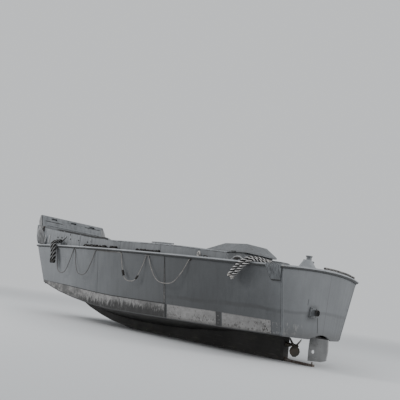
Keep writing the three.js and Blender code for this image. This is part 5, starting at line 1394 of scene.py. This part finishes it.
# ------------------------------------------------------- finish on carried nodes
for name in ("port_rub_rail", "starboard_rub_rail", "transom_rail", "port_aft_cockpit", "starboard_aft_cockpit", "steering_wheel", "stern_ventilator", "towing_bitt", "propeller", "propeller_shaft", "stern_bearing", "exhaust_pipe", "rudder", "bow_ramp", "engine_hatch_lid", "keel", "ramp_winch"):
    ob = NODES[name]
    w = ob.modifiers.new("weld", "WELD")
    w.merge_threshold = 0.0002
    ob.data.polygons.foreach_set("use_smooth", [True] * len(ob.data.polygons))
    e = ob.modifiers.new("edges", "EDGE_SPLIT")
    e.split_angle = math.radians(38)


# ------------------------------------------------------------- floor and lights
def stage():
    world = bpy.data.worlds.new("sky")
    bpy.context.scene.world = world
    world.use_nodes = True
    bg = world.node_tree.nodes["Background"]
    bg.inputs[0].default_value = (0.86, 0.88, 0.90, 1)
    bg.inputs[1].default_value = 0.85
    me = bpy.data.meshes.new("floor")
    r = 600.0
    me.from_pydata([(-r, -r, -0.001), (r, -r, -0.001), (r, r, -0.001), (-r, r, -0.001)], [], [(0, 1, 2, 3)])
    floor = bpy.data.objects.new("floor", me)
    bpy.context.scene.collection.objects.link(floor)
    m = bpy.data.materials.new("pale_floor")
    m.use_nodes = True
    t = m.node_tree
    t.nodes.clear()
    out = t.nodes.new("ShaderNodeOutputMaterial")
    d = t.nodes.new("ShaderNodeBsdfDiffuse")
    d.inputs[0].default_value = (0.70, 0.71, 0.72, 1)
    e = t.nodes.new("ShaderNodeEmission")
    e.inputs[0].default_value = (0.86, 0.88, 0.90, 1)
    e.inputs[1].default_value = 0.85
    mix = t.nodes.new("ShaderNodeMixShader")
    co = t.nodes.new("ShaderNodeTexCoord")
    ln = t.nodes.new("ShaderNodeVectorMath")
    ln.operation = "LENGTH"
    t.links.new(co.outputs["Object"], ln.inputs[0])
    rg = t.nodes.new("ShaderNodeMapRange")
    rg.interpolation_type = "SMOOTHSTEP"
    for key, v in (("From Min", 12.0), ("From Max", 45.0)):
        rg.inputs[key].default_value = v
    t.links.new(ln.outputs["Value"], rg.inputs["Value"])
    t.links.new(rg.outputs[0], mix.inputs[0])
    t.links.new(d.outputs[0], mix.inputs[1])
    t.links.new(e.outputs[0], mix.inputs[2])
    t.links.new(mix.outputs[0], out.inputs[0])
    me.materials.append(m)

    def area(name, at, to, size, watts, tone=(1, 1, 1)):
        l = bpy.data.lights.new(name, "AREA")
        l.shape, l.size, l.energy, l.color = "DISK", size, watts, tone
        ob = bpy.data.objects.new(name, l)
        bpy.context.scene.collection.objects.link(ob)
        ob.location = at
        ob.rotation_euler = (Vector(to) - Vector(at)).to_track_quat("-Z", "Y").to_euler()
        return ob

    area("key", (9.0, 13.0, 9.0), (2.0, 0.0, 1.0), 7.0, 1500)
    area("transom_fill", (-14.0, -5.0, 6.0), (-5.0, 0.0, 1.0), 6.0, 700)


stage()
